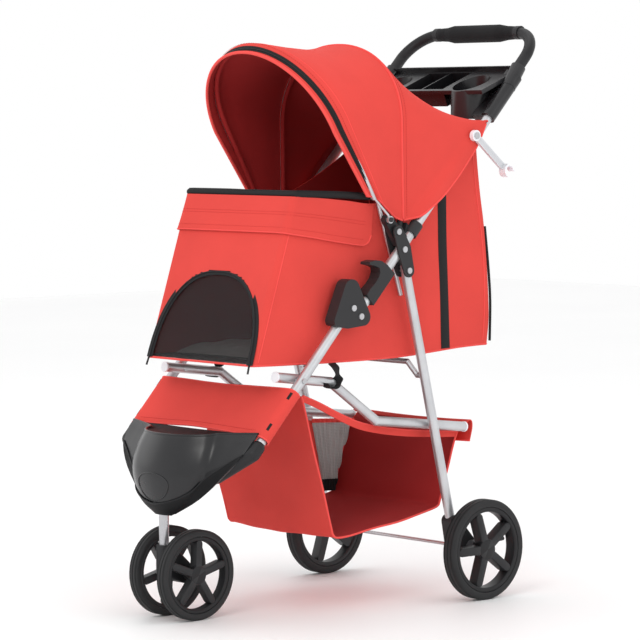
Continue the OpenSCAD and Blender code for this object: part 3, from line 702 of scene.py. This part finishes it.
def cabin_half(h, v):
    """Half of the cabin wall: h runs from the middle of the front along one side to the middle of the back."""
    k, r = 133.0, 7.0
    front_y, front_z = -440 + 85 * v, 406 + 261 * v
    back = spline(REAR, v)
    s = np.clip((h - 0.2) / 0.6, 0, 1)
    rim = spline(RIM, s)
    base_y = -440 + 512 * s
    base_z = 406 - 3 * np.sin(pi * np.clip(s * 1.15, 0, 1)) + 8 * ease((s - 0.55) / 0.45)
    y = base_y + (rim[..., 0] - base_y) * v
    y = y + (back[..., 0] - (72 + (46 - 72) * v)) * ease((s - 0.6) / 0.4)
    z = base_z + (rim[..., 1] - base_z) * v
    wave = np.sin(pi * v) * np.sin(pi * s)
    x = np.full_like(y, k) - 2.0 * wave * np.sin(pi * s) + 0.5 * ripple(y, z, z) * wave
    flat_f = np.clip(h / 0.2, 0, 1)
    flat_b = np.clip((1 - h) / 0.2, 0, 1)
    # rounded vertical corners
    def corner(f):
        a = np.clip((f - 0.9) / 0.1, 0, 1) * pi / 2
        return np.where(f < 0.9, (k - r) * f / 0.9, k - r + r * np.sin(a)), r - r * np.cos(a)
    xf, df = corner(flat_f)
    xb, db = corner(flat_b)
    on_f, on_b = h < 0.2, h > 0.8
    bulge_f = 2.5 * np.sin(pi * v) * np.cos(pi / 2 * flat_f) + 0.5 * ripple(x, z, z) * np.sin(pi * v)
    x = np.where(on_f, xf, np.where(on_b, xb, x))
    y = np.where(on_f, front_y + df - bulge_f * (flat_f < 0.9), np.where(on_b, back[..., 0] - db, y))
    z = np.where(on_f, front_z, np.where(on_b, back[..., 1], z))
    y = np.where((h >= 0.2) & (h < 0.24), y + r * (1 - (h - 0.2) / 0.04), y)
    y = np.where((h <= 0.8) & (h > 0.76), y - r * (1 - (0.8 - h) / 0.04), y)
    return x, y, z


def cabin(u, v):
    h = 1 - np.abs(2 * u - 1)
    x, y, z = cabin_half(h, v)
    return np.where(u < 0.5, x, -x), y, z


SLOPE = math.atan2(261, 85)


def door_edge(n=80, half=125.0, tall=149.0, power=2.35, low=0.0):
    """The arch of the door in the front panel, as x and distance up the panel."""
    a = np.linspace(low, pi - low, n)
    c, s = np.cos(a), np.sin(a)
    return np.sign(c) * half * np.abs(c) ** (2 / power), tall * np.abs(s) ** (2 / power)


def on_front(x, s, off=0.0):
    return np.stack(
        [
            x, -440 + s * math.cos(SLOPE) - off * math.sin(SLOPE),
            406 + s * math.sin(SLOPE) + off * math.cos(SLOPE)
        ],
        axis=-1
    )


def door_hole(c):
    s = np.hypot(c[..., 1] + 440, c[..., 2] - 406)
    near = np.abs((c[..., 1] + 440) * math.sin(SLOPE) - (c[..., 2] - 406) * math.cos(SLOPE)) < 8
    return near & ((np.abs(c[..., 0]) / 125) ** 2.35 + (s / 149) ** 2.35 < 1) & (c[..., 2] < 560)


g = grid(cabin, 360, 64, u=(0.0, 1.0))
shell = cloth_from(
    "cabin_shell", g, 2.0, "red", hole=door_hole, declare=("stretched", ["front_rail", "cabin_floor"]),
    shade_inside="red_shaded"
)
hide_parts("cabin_front", "cabin_side_left", "cabin_side_right", "cabin_rear")
root = [shell]

x, s = door_edge()
p = on_front(x, s, 1.8)
root.append(
    sweep(
        "door_zip_tape", p, strap_section(14, 1.4), "black_web",
        hint=on_front(0 * x, 0 * s + 1, 1) - on_front(0 * x, 0 * s + 1, 0)
    )
)
root.append(
    sweep(
        "door_zip_teeth", on_front(*door_edge(80, 124, 148), 2.9), round_section(1.2, 8), "black",
        hint=(0, -1, 0.3)
    )
)
root.append(
    sweep(
        "door_zip_edge", on_front(*door_edge(80, 130.2, 154), 1.5), round_section(0.9, 6), "red_edge",
        hint=(0, -1, 0.3)
    )
)


def door_net(u, v):
    x, s = 124 * (2 * u - 1), 148 * v
    lim = np.maximum(1 - (s / 148.5) ** 2.35, 0) ** (1 / 2.35)
    x = x * lim
    q = on_front(x, s, -0.6 - 4 * np.sin(pi * v) * np.cos(pi / 2 * (2 * u - 1)))
    return q[..., 0], q[..., 1], q[..., 2]


g = grid(door_net, 40, 30)
net = cloth_from("door_net", g, 0.8, "door_mesh", declare=("stretched", ["cabin_shell"]))
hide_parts("door_mesh")
root.append(net)

# the folded-down flap round the front of the rim
FLAP_U = 0.2 + 0.6 * (174 / 406)


def flap(u, v):
    """u runs from one side's end round the front to the other's; v from the lower edge to the rim."""
    h = np.abs(2 * u - 1) * FLAP_U
    low = 0.785 - 0.05 * ease((h - 0.15) / 0.3)
    dist = (FLAP_U - h) / 0.6 * 406
    round_off = np.where(dist < 16, 16 - np.sqrt(np.maximum(256 - (16 - dist) ** 2, 0)), 0) / 255
    vv = (low + round_off) + (1.002 - low - round_off) * v
    x, y, z = cabin_half(h, vv)
    return np.where(u < 0.5, x, -x), y, z


a, b = np.meshgrid(np.linspace(0, 1, 201), np.linspace(0, 1, 15))
g = np.stack(flap(a, b), axis=2)
n = grid_normals(g)
if n[7, 100, 1] > 0:
    n = -n
g = g + n * (2.0 + 2.2 * (1 - b)[..., None] ** 2)
flap_cloth = cloth_from("rim_flap", g, 1.6, "red", declare=("folded", ["front_rail"]))
root.append(flap_cloth)
root.append(sweep("flap_hem", g[0] + n[0] * 0.4, round_section(1.2, 8), "red_edge", hint=n[0]))
for row, name in ((2, "flap_stitch_low"), (7, "flap_stitch_mid"), (8, "flap_stitch_mid2")):
    root.append(stitches(name, g[row, 4:-4], n[row, 4:-4], lift=0.9))

rim_path = np.array(
    [
        [133.5, -196, 665], [133.5, -260, 669], [133.5, -340, 672], [132, -347, 672], [126, -350.5, 672],
        [60, -350.5, 672]
    ]
)
rim_path = np.concatenate([rim_path, rim_path[::-1] * [-1, 1, 1]])
legs = ((0, 3, 30), (2, 6, 16), (5, 7, 30), (6, 10, 16), (9, 12, 30))
legs = [spline(rim_path[a:b], np.linspace(0, 1, n)) for a, b, n in legs]
fine = np.concatenate([legs[0]] + [leg[1:] for leg in legs[1:]])
root.append(sweep("rim_zip", fine + [0, 0, -0.6], round_section(5.0, 12, 1.05), "black_web", hint=(0, 0, 1)))
root.append(sweep("rim_zip_teeth", fine + [0, 0, 4.6], round_section(1.2, 8), "black", hint=(0, 0, 1)))


def strap_on_cabin(name, pts, w, t, side, mat="black_web", off=1.6):
    p = spline([[side * 133.2, *q] for q in pts], np.linspace(0, 1, 40))
    p[:, 0] += side * off - side * 1.6 * np.sin(pi * np.linspace(0, 1, 40))
    return sweep(name, p, strap_section(w, t), mat, hint=(side, 0, 0))


for side, tag in ((1, "left"), (-1, "right")):
    root.append(
        strap_on_cabin("side_webbing_" + tag, [[-35, 704], [-33, 600], [-29, 500], [-27, 412]], 19, 1.3, side)
    )
    p = spline(
        [
            [side * 132.0, 77.5, 419], [side * 132.2, 78.5, 486], [side * 132.0, 74, 545],
            [side * 131.5, 66.5, 610]
        ],
        np.linspace(0, 1, 50)
    )
    root.append(sweep("rear_zip_" + tag, p, round_section(2.2, 8), "black_web", hint=(side, 1, 0)))
    root.append(
        piping(
            "corner_seam_" + tag, 1.0, cabin, (0.1005, 0.1005) if side > 0 else (0.8995, 0.8995), (0.02, 0.8),
            0.9, sides=6, n=60
        )
    )
    root.append(
        piping(
            "rear_seam_" + tag, 1.3, cabin, (0.395, 0.395) if side > 0 else (0.605, 0.605), (0.02, 0.95),
            1.0 if side > 0 else -1.0, sides=6, n=60
        )
    )
p, m = edge_line(cabin, (0.0, 1.0), (0.0, 0.0), n=300)
root.append(sweep("cabin_base_piping", p, round_section(1.8, 8), "red_edge", hint=(0, 0, 1)))
for tag, x in (("left", 1), ("right", -1)):
    p = on_front(np.array([124.5, 126, 127]) * x, np.array([10.0, -4.0, -14.0]), 2.6)
    root.append(sweep("zip_pull_" + tag, p, strap_section(3.4, 1.4), "black", hint=(0, -1, 0.3)))


def settle(o, cap, size=0.0055, pressure=4.0, frames_run=20):
    """Inflates a pad with a short cloth simulation, keeps each point within cap metres, and smooths it."""
    bpy.context.view_layer.objects.active = o
    m = o.modifiers.new("voxels", "REMESH")
    m.mode, m.voxel_size = "VOXEL", size
    deps = bpy.context.evaluated_depsgraph_get()
    me = bpy.data.meshes.new_from_object(o.evaluated_get(deps))
    o.modifiers.clear()
    mat = o.data.materials[0]
    o.data = me
    o.data.materials.clear()
    o.data.materials.append(mat)
    before = np.zeros(len(me.vertices) * 3, np.float32)
    me.vertices.foreach_get("co", before)
    c = o.modifiers.new("pad", "CLOTH")
    c.settings.quality, c.settings.mass = 5, 0.3
    c.settings.use_pressure, c.settings.uniform_pressure_force = True, pressure
    c.settings.effector_weights.gravity = 0
    c.settings.tension_stiffness = c.settings.compression_stiffness = 12
    c.point_cache.frame_start, c.point_cache.frame_end = 1, frames_run
    for f in range(1, frames_run + 1):
        bpy.context.scene.frame_set(f)
    deps = bpy.context.evaluated_depsgraph_get()
    after_me = bpy.data.meshes.new_from_object(o.evaluated_get(deps))
    after = np.zeros(len(after_me.vertices) * 3, np.float32)
    after_me.vertices.foreach_get("co", after)
    bpy.data.meshes.remove(after_me)
    o.modifiers.clear()
    bpy.context.scene.frame_set(1)
    move = (after - before).reshape(-1, 3)
    far = np.linalg.norm(move, axis=1, keepdims=True)
    move *= np.minimum(1.0, cap / np.maximum(far, 1e-9))
    o.data.vertices.foreach_set("co", (before.reshape(-1, 3) + move).ravel())
    o.data.update()
    o.data.polygons.foreach_set("use_smooth", [True] * len(o.data.polygons))
    return o


def cushion_top(u, v):
    x = 118 * (2 * u - 1)
    y = -402 + 456 * v
    crown = (1 - (2 * u - 1) ** 6) * (1 - (2 * v - 1) ** 8)
    quilt = np.sin(pi * 4 * u) ** 2 * np.sin(pi * 7 * v) ** 2
    return x, y, 413.5 + crown * (9 + 4.5 * quilt)


g = grid(cushion_top, 64, 100)
low = g.copy()
low[..., 2] = 411.2 + 2 * low[..., 1].clip(0) / 60
both = np.concatenate([place(g).reshape(-1, 3), place(low).reshape(-1, 3)])
k = g.shape[0] * g.shape[1]
idx = np.arange(k).reshape(g.shape[0], g.shape[1])
quads = np.stack([idx[:-1, :-1], idx[:-1, 1:], idx[1:, 1:], idx[1:, :-1]], axis=2).reshape(-1, 4)
ring = np.concatenate([idx[0, :-1], idx[:-1, -1], idx[-1, :0:-1], idx[:0:-1, 0]])
faces = [tuple(f) for f in quads] + [tuple(x + k for x in f[::-1]) for f in quads]
faces += [(b, a, a + k, b + k) for a, b in zip(ring, np.roll(ring, -1))]
pad = finish_mesh("floor_pad", both, faces, "cushion")
settle(pad, 0.006)
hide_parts("floor_cushion")
root.append(pad)

# ---------------------------------------------------------------- basket

PROFILE = [[-338, 352], [-322, 296], [-305, 236], [-288, 178], [-273, 126]]
FLOOR = [[-273, 126], [-262, 120.5], [-215, 124], [-150, 132], [-90, 141], [-50, 149], [-38, 154]]
BACK = [[-38, 154], [-29, 182], [-19, 214], [-8, 246], [4, 271], [18, 284]]


def basket(u, v):
    """One sling of cloth: down the front wall, along the floor and up the back."""
    x = 130 * (1 - 2 * u)
    mid = 1 - (2 * u - 1) ** 2
    f = spline(PROFILE, v / 0.38)
    b = spline(FLOOR, (v - 0.38) / 0.36)
    c = spline(BACK, (v - 0.74) / 0.26)
    a, d = (v > 0.38)[..., None], (v > 0.74)[..., None]
    q = np.where(d, c, np.where(a, b, f))
    y, z = q[..., 0], q[..., 1]
    in_floor = ease((v - 0.36) / 0.08) * ease((0.78 - v) / 0.08)
    front = ease((0.38 - v) / 0.1) * ease(v / 0.1)
    z = z - 3 * mid * in_floor
    y = y + 7 * mid * front * np.sin(pi * np.clip(v / 0.38, 0, 1))
    back = ease((v - 0.76) / 0.1) * ease((1 - v) / 0.08)
    y = y + 9 * mid * back
    wave = ripple(x, y, z, 1.6)
    return x, y + wave * (front + back), z + wave * in_floor


slung = []
g = grid(basket, 60, 120)
sling = cloth_from(
    "basket_sling", g, 1.8, "red", declare=("hung", ["rail_left", "rail_right", "basket_apron"]),
    shade_inside="red_shaded"
)
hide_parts("basket_body")
slung.append(sling)
for u, tag in ((0.0, "left"), (1.0, "right")):
    slung.append(piping("basket_piping_" + tag, 1.7, basket, (u, u), (0.0, 1.0)))


def side_band(u, v):
    """The sagging hem along the open near side."""
    q = spline(
        [
            [-337, 351], [-300, 336], [-259, 317], [-216, 300], [-170, 289.5], [-120, 281.5], [-60, 275],
            [2, 270]
        ],
        u
    )
    width = 9 + 2 * np.sin(pi * u)
    return 129.5 + 1.5 * np.sin(pi * u) * (1 - v), q[..., 0] + 2 * v, q[..., 1] - width * (1 - v) + 2


g = grid(side_band, 80, 6)
slung.append(cloth_from("basket_side_band", g, 1.8, "red", declare=("hung", ["rail_left"])))
slung.append(piping("basket_side_hem", 1.6, side_band, (0, 1), (1, 1), n=80))


def far_panel(u, v):
    """The cloth triangle on the far side that runs from the front wall to the mesh."""
    top = spline([[-337, 351], [-259, 317], [-170, 290], [-88, 277]], u)
    low = spline([[-275, 128], [-205, 138], [-130, 160], [-68, 177]], u)
    y = low[..., 0] + (top[..., 0] - low[..., 0]) * v
    z = low[..., 1] + (top[..., 1] - low[..., 1]) * v
    return -129.5 + 3 * np.sin(pi * v) * np.sin(pi * u), y, z


slung.append(
    cloth_from(
        "basket_far_panel", grid(far_panel, 40, 24), 1.6, "red", declare=("stretched", ["rail_right"]),
        shade_inside="red_shaded"
    )
)


def pleats(u, v):
    """The gathered mesh gusset at the back of the far side."""
    top = np.array([-90.0, 277.0]) + u[..., None] * np.array([106.0, -6.0])
    low = np.array([-66.0, 174.0]) + u[..., None] * np.array([56.0, -2.0])
    q = low + (top - low) * v[..., None]
    fold = np.sin(2 * pi * 9 * u) * (2.2 - 0.8 * v)
    return -128.5 + fold, q[..., 0], q[..., 1]


g = grid(pleats, 160, 16)
gusset = cloth_from("basket_gusset", g, 0.8, "mesh", declare=("gathered", ["rail_right"]))
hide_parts("mesh_pouch")
slung.append(gusset)
p, m = edge_line(pleats, (0, 1), (0, 0), n=160)
slung.append(
    sweep("gusset_binding_low", p + [0, 0, -9], strap_section(20, 3.6), "black_web", hint=(-1, 0, 0))
)
p, m = edge_line(pleats, (0, 1), (1, 1), n=160)
slung.append(sweep("gusset_binding_top", p, strap_section(7, 3.0), "red_edge", hint=(-1, 0, 0)))


def back_flap(u, v):
    """The turned-over hem across the back, over the ends of the rails."""
    x = 141 * (2 * u - 1)
    q = spline([[16, 286], [21, 290.5], [27, 288], [28, 278], [25, 266], [22, 256]], v)
    return x, q[..., 0], q[..., 1] - 3 * (1 - (2 * u - 1) ** 2)


g = grid(back_flap, 60, 14)
slung.append(cloth_from("basket_back_flap", g, 1.6, "red", declare=("folded", ["basket_sling"])))
slung.append(piping("back_flap_hem", 1.5, back_flap, (0, 1), (1, 1), n=60))
for o in slung:
    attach(o, "front_frame")
    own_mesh(o)

# the apron between the front legs
F_DIR = np.array([math.cos(math.radians(47.2)), math.sin(math.radians(47.2))])
F_NORMAL = np.array([-F_DIR[1], F_DIR[0]])


def on_leg(s, w):
    return -355 + s * F_DIR[0] + w * F_NORMAL[0], 386 + s * F_DIR[1] + w * F_NORMAL[1]


def apron(u, v):
    """u runs round the back of one leg, across the front and round the other; v runs up the legs."""
    t = 2 * u - 1
    a = np.abs(t)
    turn = np.clip((a - 0.84) / 0.16, 0, 1) * pi * 1.25
    r = 11.0
    x = np.where(a < 0.84, 156 * a / 0.84, 156 + r * np.sin(turn)) * np.sign(t)
    w = np.where(a < 0.84, r, r * np.cos(turn))
    mid = ease((0.84 - a) / 0.84)
    s = -128 + 94 * v + (5 * mid) * (1 - v) - 3 * mid * v
    w = w - 5 * mid * np.sin(pi * v) + mid * ripple(x, s, s, 0.8)
    y, z = on_leg(s, w)
    return x, y, z


g = grid(apron, 120, 30)
apron_cloth = cloth_from(
    "basket_apron", g, 1.8, "red", declare=("stretched", ["front_leg_left", "front_leg_right"])
)
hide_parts("basket_front")
root.append(apron_cloth)
for v, tag in ((0.0, "low"), (1.0, "top")):
    root.append(piping("apron_hem_" + tag, 1.5, apron, (0, 1), (v, v)))
root.append(stitches("apron_stitch", *edge_line(apron, (0.1, 0.9), (0.1, 0.1), 1.1, n=120)))
# black patches over the small openings at the ends of the leg sleeves: painted shade for the dark inside of each
# opening
for side in (1, -1):
    for s in (-52, -114):
        y, z = on_leg(s, 8.3)
        y2, z2 = on_leg(s + 13, 8.3)
        path = np.array([[side * 163.4, y, z], [side * 163.4, y2, z2]])
        root.append(
            sweep(
                f"apron_slot_shade_{'left' if side > 0 else 'right'}_{abs(s)}", path, strap_section(4.5, 1.6),
                "black_web", hint=(side * 0.7, -0.5, 0.5)
            )
        )

# straps that hang the cabin on the rails
for side, tag in ((1, "left"), (-1, "right")):
    path = np.array(
        [
            [side * 148.3, -305, 372], [side * 148.3, -299, 365.5], [side * 148.3, -288, 363],
            [side * 148.3, -280, 367], [side * 148.0, -277, 378], [side * 145.0, -278, 394],
            [side * 136, -279, 401.5]
        ]
    )
    o = sweep(
        "rail_webbing_" + tag, spline(path, np.linspace(0, 1, 50)), strap_section(17, 1.6), "black_web",
        hint=(0, 0, 1)
    )
    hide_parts("rail_straps")
    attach(o, "front_frame")
    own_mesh(o)

for o in root:
    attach(o, "front_frame")

# ---------------------------------------------------------------- front cover

# from the bottom to the crest: nose (y, z), the nose's half width, and the wing tip (x, y, z)
RIBS = [
    (-519, 170, 20, 27, -510, 172),
    (-531, 188, 56, 80, -500, 202),
    (-537, 214, 80, 122, -490, 238),
    (-537, 240, 92, 148, -476, 268),
    (-530, 268, 92, 155, -462, 289),
    (-518, 295, 86, 156, -450, 302),
]
ROUND = [(0.5, 0, 0.11, 0.04), (0.85, 0, 0.4, 0.2), (1, 0, 0.68, 0.45), (0.5, 0.5, 0.86, 0.75), (0, 1, 1, 1)]


def cover_net():
    rows = []
    for ny, nz, nose, tip, wy, wz in RIBS:
        half = [(nose * a + tip * b, ny + (wy - ny) * c, nz + (wz - nz) * d) for a, b, c, d in ROUND]
        rows.append([(-x, y, z) for x, y, z in half[::-1]] + [(0, ny, nz)] + half)
    return np.array(rows, float)


COVER = cover_net()


def bowl(u, v):
    """u runs from wing to wing round the nose; v from the bottom to the crest."""
    u, v = np.broadcast_arrays(np.asarray(u, float), np.asarray(v, float))
    across, along = spline(np.eye(COVER.shape[1]), u), spline(np.eye(COVER.shape[0]), v)
    p = np.einsum("...i,...j,jik->...k", across, along, COVER)
    return p[..., 0], p[..., 1], p[..., 2]


def lid(u, v):
    """The closed top, from the crest back to the straight edge between the wing tips."""
    x, y, z = bowl(u, 1.0)
    back = 301.5 - 3 * (1 - (x / 156) ** 2)
    return x, y + (-449 - y) * v, z + (back - z) * v - 5 * np.sin(pi * v) * np.cos(pi * x / 330)


g = grid(bowl, 96, 40)
cover = cloth_from("cover_bowl", g, 3.0, "gloss")
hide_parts("front_cover")
cover_set = [cover, cloth_from("cover_lid", grid(lid, 72, 16, u=(0.03, 0.97)), 2.0, "matt")]
cover_set.append(piping("cover_lip", 2.6, bowl, (0, 1), (1, 1), sides=10, mat="gloss"))


def band(u, v):
    a = np.abs(2 * u - 1)
    top = 0.2 + 0.42 * a**1.5
    return bowl(u, top * v)


g = grid(band, 120, 10, off=0.0)
n = grid_normals(g)
if n[5, 60, 1] > 0:
    n = -n
cover_set.append(cloth_from("cover_band", g + n * 2.2, 2.6, "matt"))
p = (g + n * 3.2)[-1]
cover_set.append(sweep("cover_band_lip", p, round_section(1.3, 8), "black", hint=n[-1]))
a = np.linspace(0, 2 * pi, 73)
uu, vv = 0.5 + 0.088 * np.cos(a), 0.40 + 0.17 * np.sin(a)
p = np.stack(bowl(uu, vv), axis=1)
e = 1e-3
m = np.cross(np.stack(bowl(uu + e, vv), axis=1) - p, np.stack(bowl(uu, vv + e), axis=1) - p)
m /= np.linalg.norm(m, axis=1, keepdims=True)
if m[0, 1] > 0:
    m = -m
cover_set.append(sweep("cover_badge_ring", p + m * 1.6, round_section(1.0, 8), "gloss", hint=m))
for o in cover_set:
    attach(o, "front_frame")


# ---------------------------------------------------------------- wheels


def lathe(name, profile, mat, n=96, sharp=32):
    """Turns an (axial, radius) profile about x at the origin, in millimetres; the profile is closed."""
    p = np.asarray(profile, float)
    a = np.linspace(0, 2 * pi, n, endpoint=False)
    pts = np.stack(
        [
            np.broadcast_to(p[None, :, 0], (n, len(p))), p[None, :, 1] * np.cos(a)[:, None],
            p[None, :, 1] * np.sin(a)[:, None]
        ],
        axis=2
    )
    idx = np.arange(n * len(p)).reshape(n, len(p))
    nxt = np.roll(idx, -1, axis=0)
    faces = []
    for i in range(len(p)):
        j = (i + 1) % len(p)
        faces += [tuple(f) for f in np.stack([idx[:, i], nxt[:, i], nxt[:, j], idx[:, j]], axis=1)]
    along = np.concatenate([[0], np.cumsum(np.linalg.norm(np.diff(p, axis=0), axis=1))])
    uv = np.stack(np.broadcast_arrays(along[None, :], (a * p[:, 1].max())[:, None]), axis=2) / 1000
    return finish_mesh(name, pts.reshape(-1, 3) / 1000, faces, mat, uv.reshape(-1, 2), sharp=sharp)


def spoke_mesh(name, r0, r1, half, depth, out, phase, count):
    """Rounded spokes with a shallow raised face, on the outer side of the wheel."""
    verts, faces = [], []
    outline = []
    for x in np.linspace(r0, r1 - half, 6):
        outline.append((x, -half))
    for t in np.linspace(-pi / 2, pi / 2, 9)[1:-1]:
        outline.append((r1 - half + half * math.cos(t), half * math.sin(t)))
    for x in np.linspace(r1 - half, r0, 6):
        outline.append((x, half))
    outline = np.array(outline)
    mid = outline.mean(0)
    for k in range(count):
        c, s = math.cos(phase + 2 * pi * k / count), math.sin(phase + 2 * pi * k / count)
        base = len(verts)
        layers = [(out - depth, 1.0), (out - 1.6, 1.0), (out - 0.5, 0.93), (out, 0.8)]
        for ax, q in layers:
            for r, w in outline:
                rr = r if q == 1.0 else r - (1 - q) * half * (1 if r > r1 - half else 0)
                ww = w * q
                verts.append((ax, rr * c - ww * s, rr * s + ww * c))
        m = len(outline)
        for l in range(len(layers) - 1):
            for i in range(m):
                j = (i + 1) % m
                faces.append(
                    (base + l * m + i, base + l * m + j, base + (l + 1) * m + j, base + (l + 1) * m + i)
                )
        faces.append(tuple(base + i for i in range(m))[::-1])
        faces.append(tuple(base + (len(layers) - 1) * m + i for i in range(m)))
    return finish_mesh(name, np.array(verts) / 1000, faces, "wheel", np.array(verts)[:, 1:] / 1000, sharp=40)


def wheel(end, hand, x, y, z, r, w, side, phase):
    """side is +1 where the wheel's outer face looks along +x."""
    tag = f"{end}_{hand}"
    h = w / 2
    bead = 0.85 * r
    tread = [(-h + 0.6, bead + 0.4), (-h, bead + 3)]
    shoulder = 5.0
    tread += [
        (-h + shoulder - shoulder * math.cos(t), r - shoulder + shoulder * math.sin(t))
        for t in np.linspace(0.1, pi / 2, 7)
    ]
    for gx in (-0.32, 0.0, 0.32):
        c = gx * w
        tread += [(c - 1.3, r), (c - 0.7, r - 1.1), (c + 0.7, r - 1.1), (c + 1.3, r)]
    tread += [
        (h - shoulder + shoulder * math.cos(t), r - shoulder + shoulder * math.sin(t))
        for t in np.linspace(pi / 2, 0.1, 7)
    ]
    tread += [(h, bead + 3), (h - 0.6, bead + 0.4)]
    tyre = lathe(f"tyre_{tag}", tread, "tyre", 128)
    inner = 0.755 * r
    rim = [
        (-h + 1.2, bead - 0.2), (-h + 0.4, bead - 1.4), (-h + 0.6, inner + 2.5), (-h + 2.2, inner + 0.4),
        (-h + 4, inner)
    ]
    rim += [
        (h - 4, inner), (h - 2.2, inner + 0.4), (h - 0.6, inner + 2.5), (h - 0.4, bead - 1.4),
        (h - 1.2, bead - 0.2)
    ]
    rim = [(side * p, q) for p, q in rim]
    ring = lathe(f"rim_{tag}", rim, "wheel", 128)
    hub_r = 0.215 * r
    out = h - 1.0
    hub = [(out, 0.01), (out, hub_r - 2.2), (out - 0.6, hub_r - 0.6), (out - 2, hub_r), (-h + 3, hub_r * 0.8)]
    hub += [(-h + 1, hub_r * 0.72), (-h + 1, 3.2), (-h + 1.5, 3.2), (out - 4, 3.2), (out - 4, 0.01)]
    hub = [(side * p, q) for p, q in hub]
    hub_o = lathe(f"hub_{tag}", hub, "wheel", 64)
    spoke_o = spoke_mesh(f"spokes_{tag}", hub_r * 0.7, inner + 1.5, 0.085 * r, w - 5.0, out - 0.4, phase, 5)
    if side < 0:
        for v in spoke_o.data.vertices:
            v.co.x = -v.co.x
        spoke_o.data.flip_normals()
    for o in (tyre, ring, hub_o, spoke_o):
        o.data.transform(Matrix.Translation(Vector(place([x, y, z]))))
        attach(o, f"{end}_wheel_{hand}")
    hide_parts(f"{end}_tyre_{hand}")
    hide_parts(f"{end}_rim_{hand}")
    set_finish(tyre, "tyre")
    for o in (ring, hub_o, spoke_o):
        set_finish(o, "wheel_plastic")


wheel("rear", "left", 195.5, 0, 82.5, 82.5, 24, 1, math.radians(180))
wheel("rear", "right", -195.5, 0, 82.5, 82.5, 24, -1, math.radians(36))
wheel("front", "left", 35, -479, 72, 72, 20, 1, math.radians(15))
wheel("front", "right", -35, -479, 72, 72, 20, -1, math.radians(50))

# ---------------------------------------------------------------- slots and floor

for o in bpy.context.scene.objects:
    if o.type != "MESH" or "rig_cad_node" in o or "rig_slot" in o:
        continue
    first = o.data.materials[0].name if o.data.materials else ""
    table = {
        "red_fabric": "red_fabric", "red_binding": "red_fabric", "red_thread": "red_fabric",
        "black_webbing": "black_webbing", "grey_mesh": "grey_mesh", "door_mesh": "grey_mesh",
        "cushion_fleece": "cushion_fabric", "black_plastic": "black_plastic", "gloss_plastic": "gloss_plastic",
        "red_painted_shade": "red_fabric", "matt_plastic": "gloss_plastic",
    }
    if first in table:
        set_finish(o, table[first])

n = Nodes("studio_floor")
n.color(n.ramp(n.noise(1.2, 2.0), [(0.3, (0.955, 0.955, 0.958)), (0.7, (0.975, 0.975, 0.975))]))
n.set(Roughness=0.55, Specular_IOR_Level=0.25)
bm = bmesh.new()
bmesh.ops.create_grid(bm, x_segments=24, y_segments=24, size=7.0)
me = bpy.data.meshes.new("floor")
bm.to_mesh(me)
bm.free()
me.materials.append(n.m)
floor = bpy.data.objects.new("floor", me)
floor.location = (0, 0, -0.0004)
bpy.context.scene.collection.objects.link(floor)
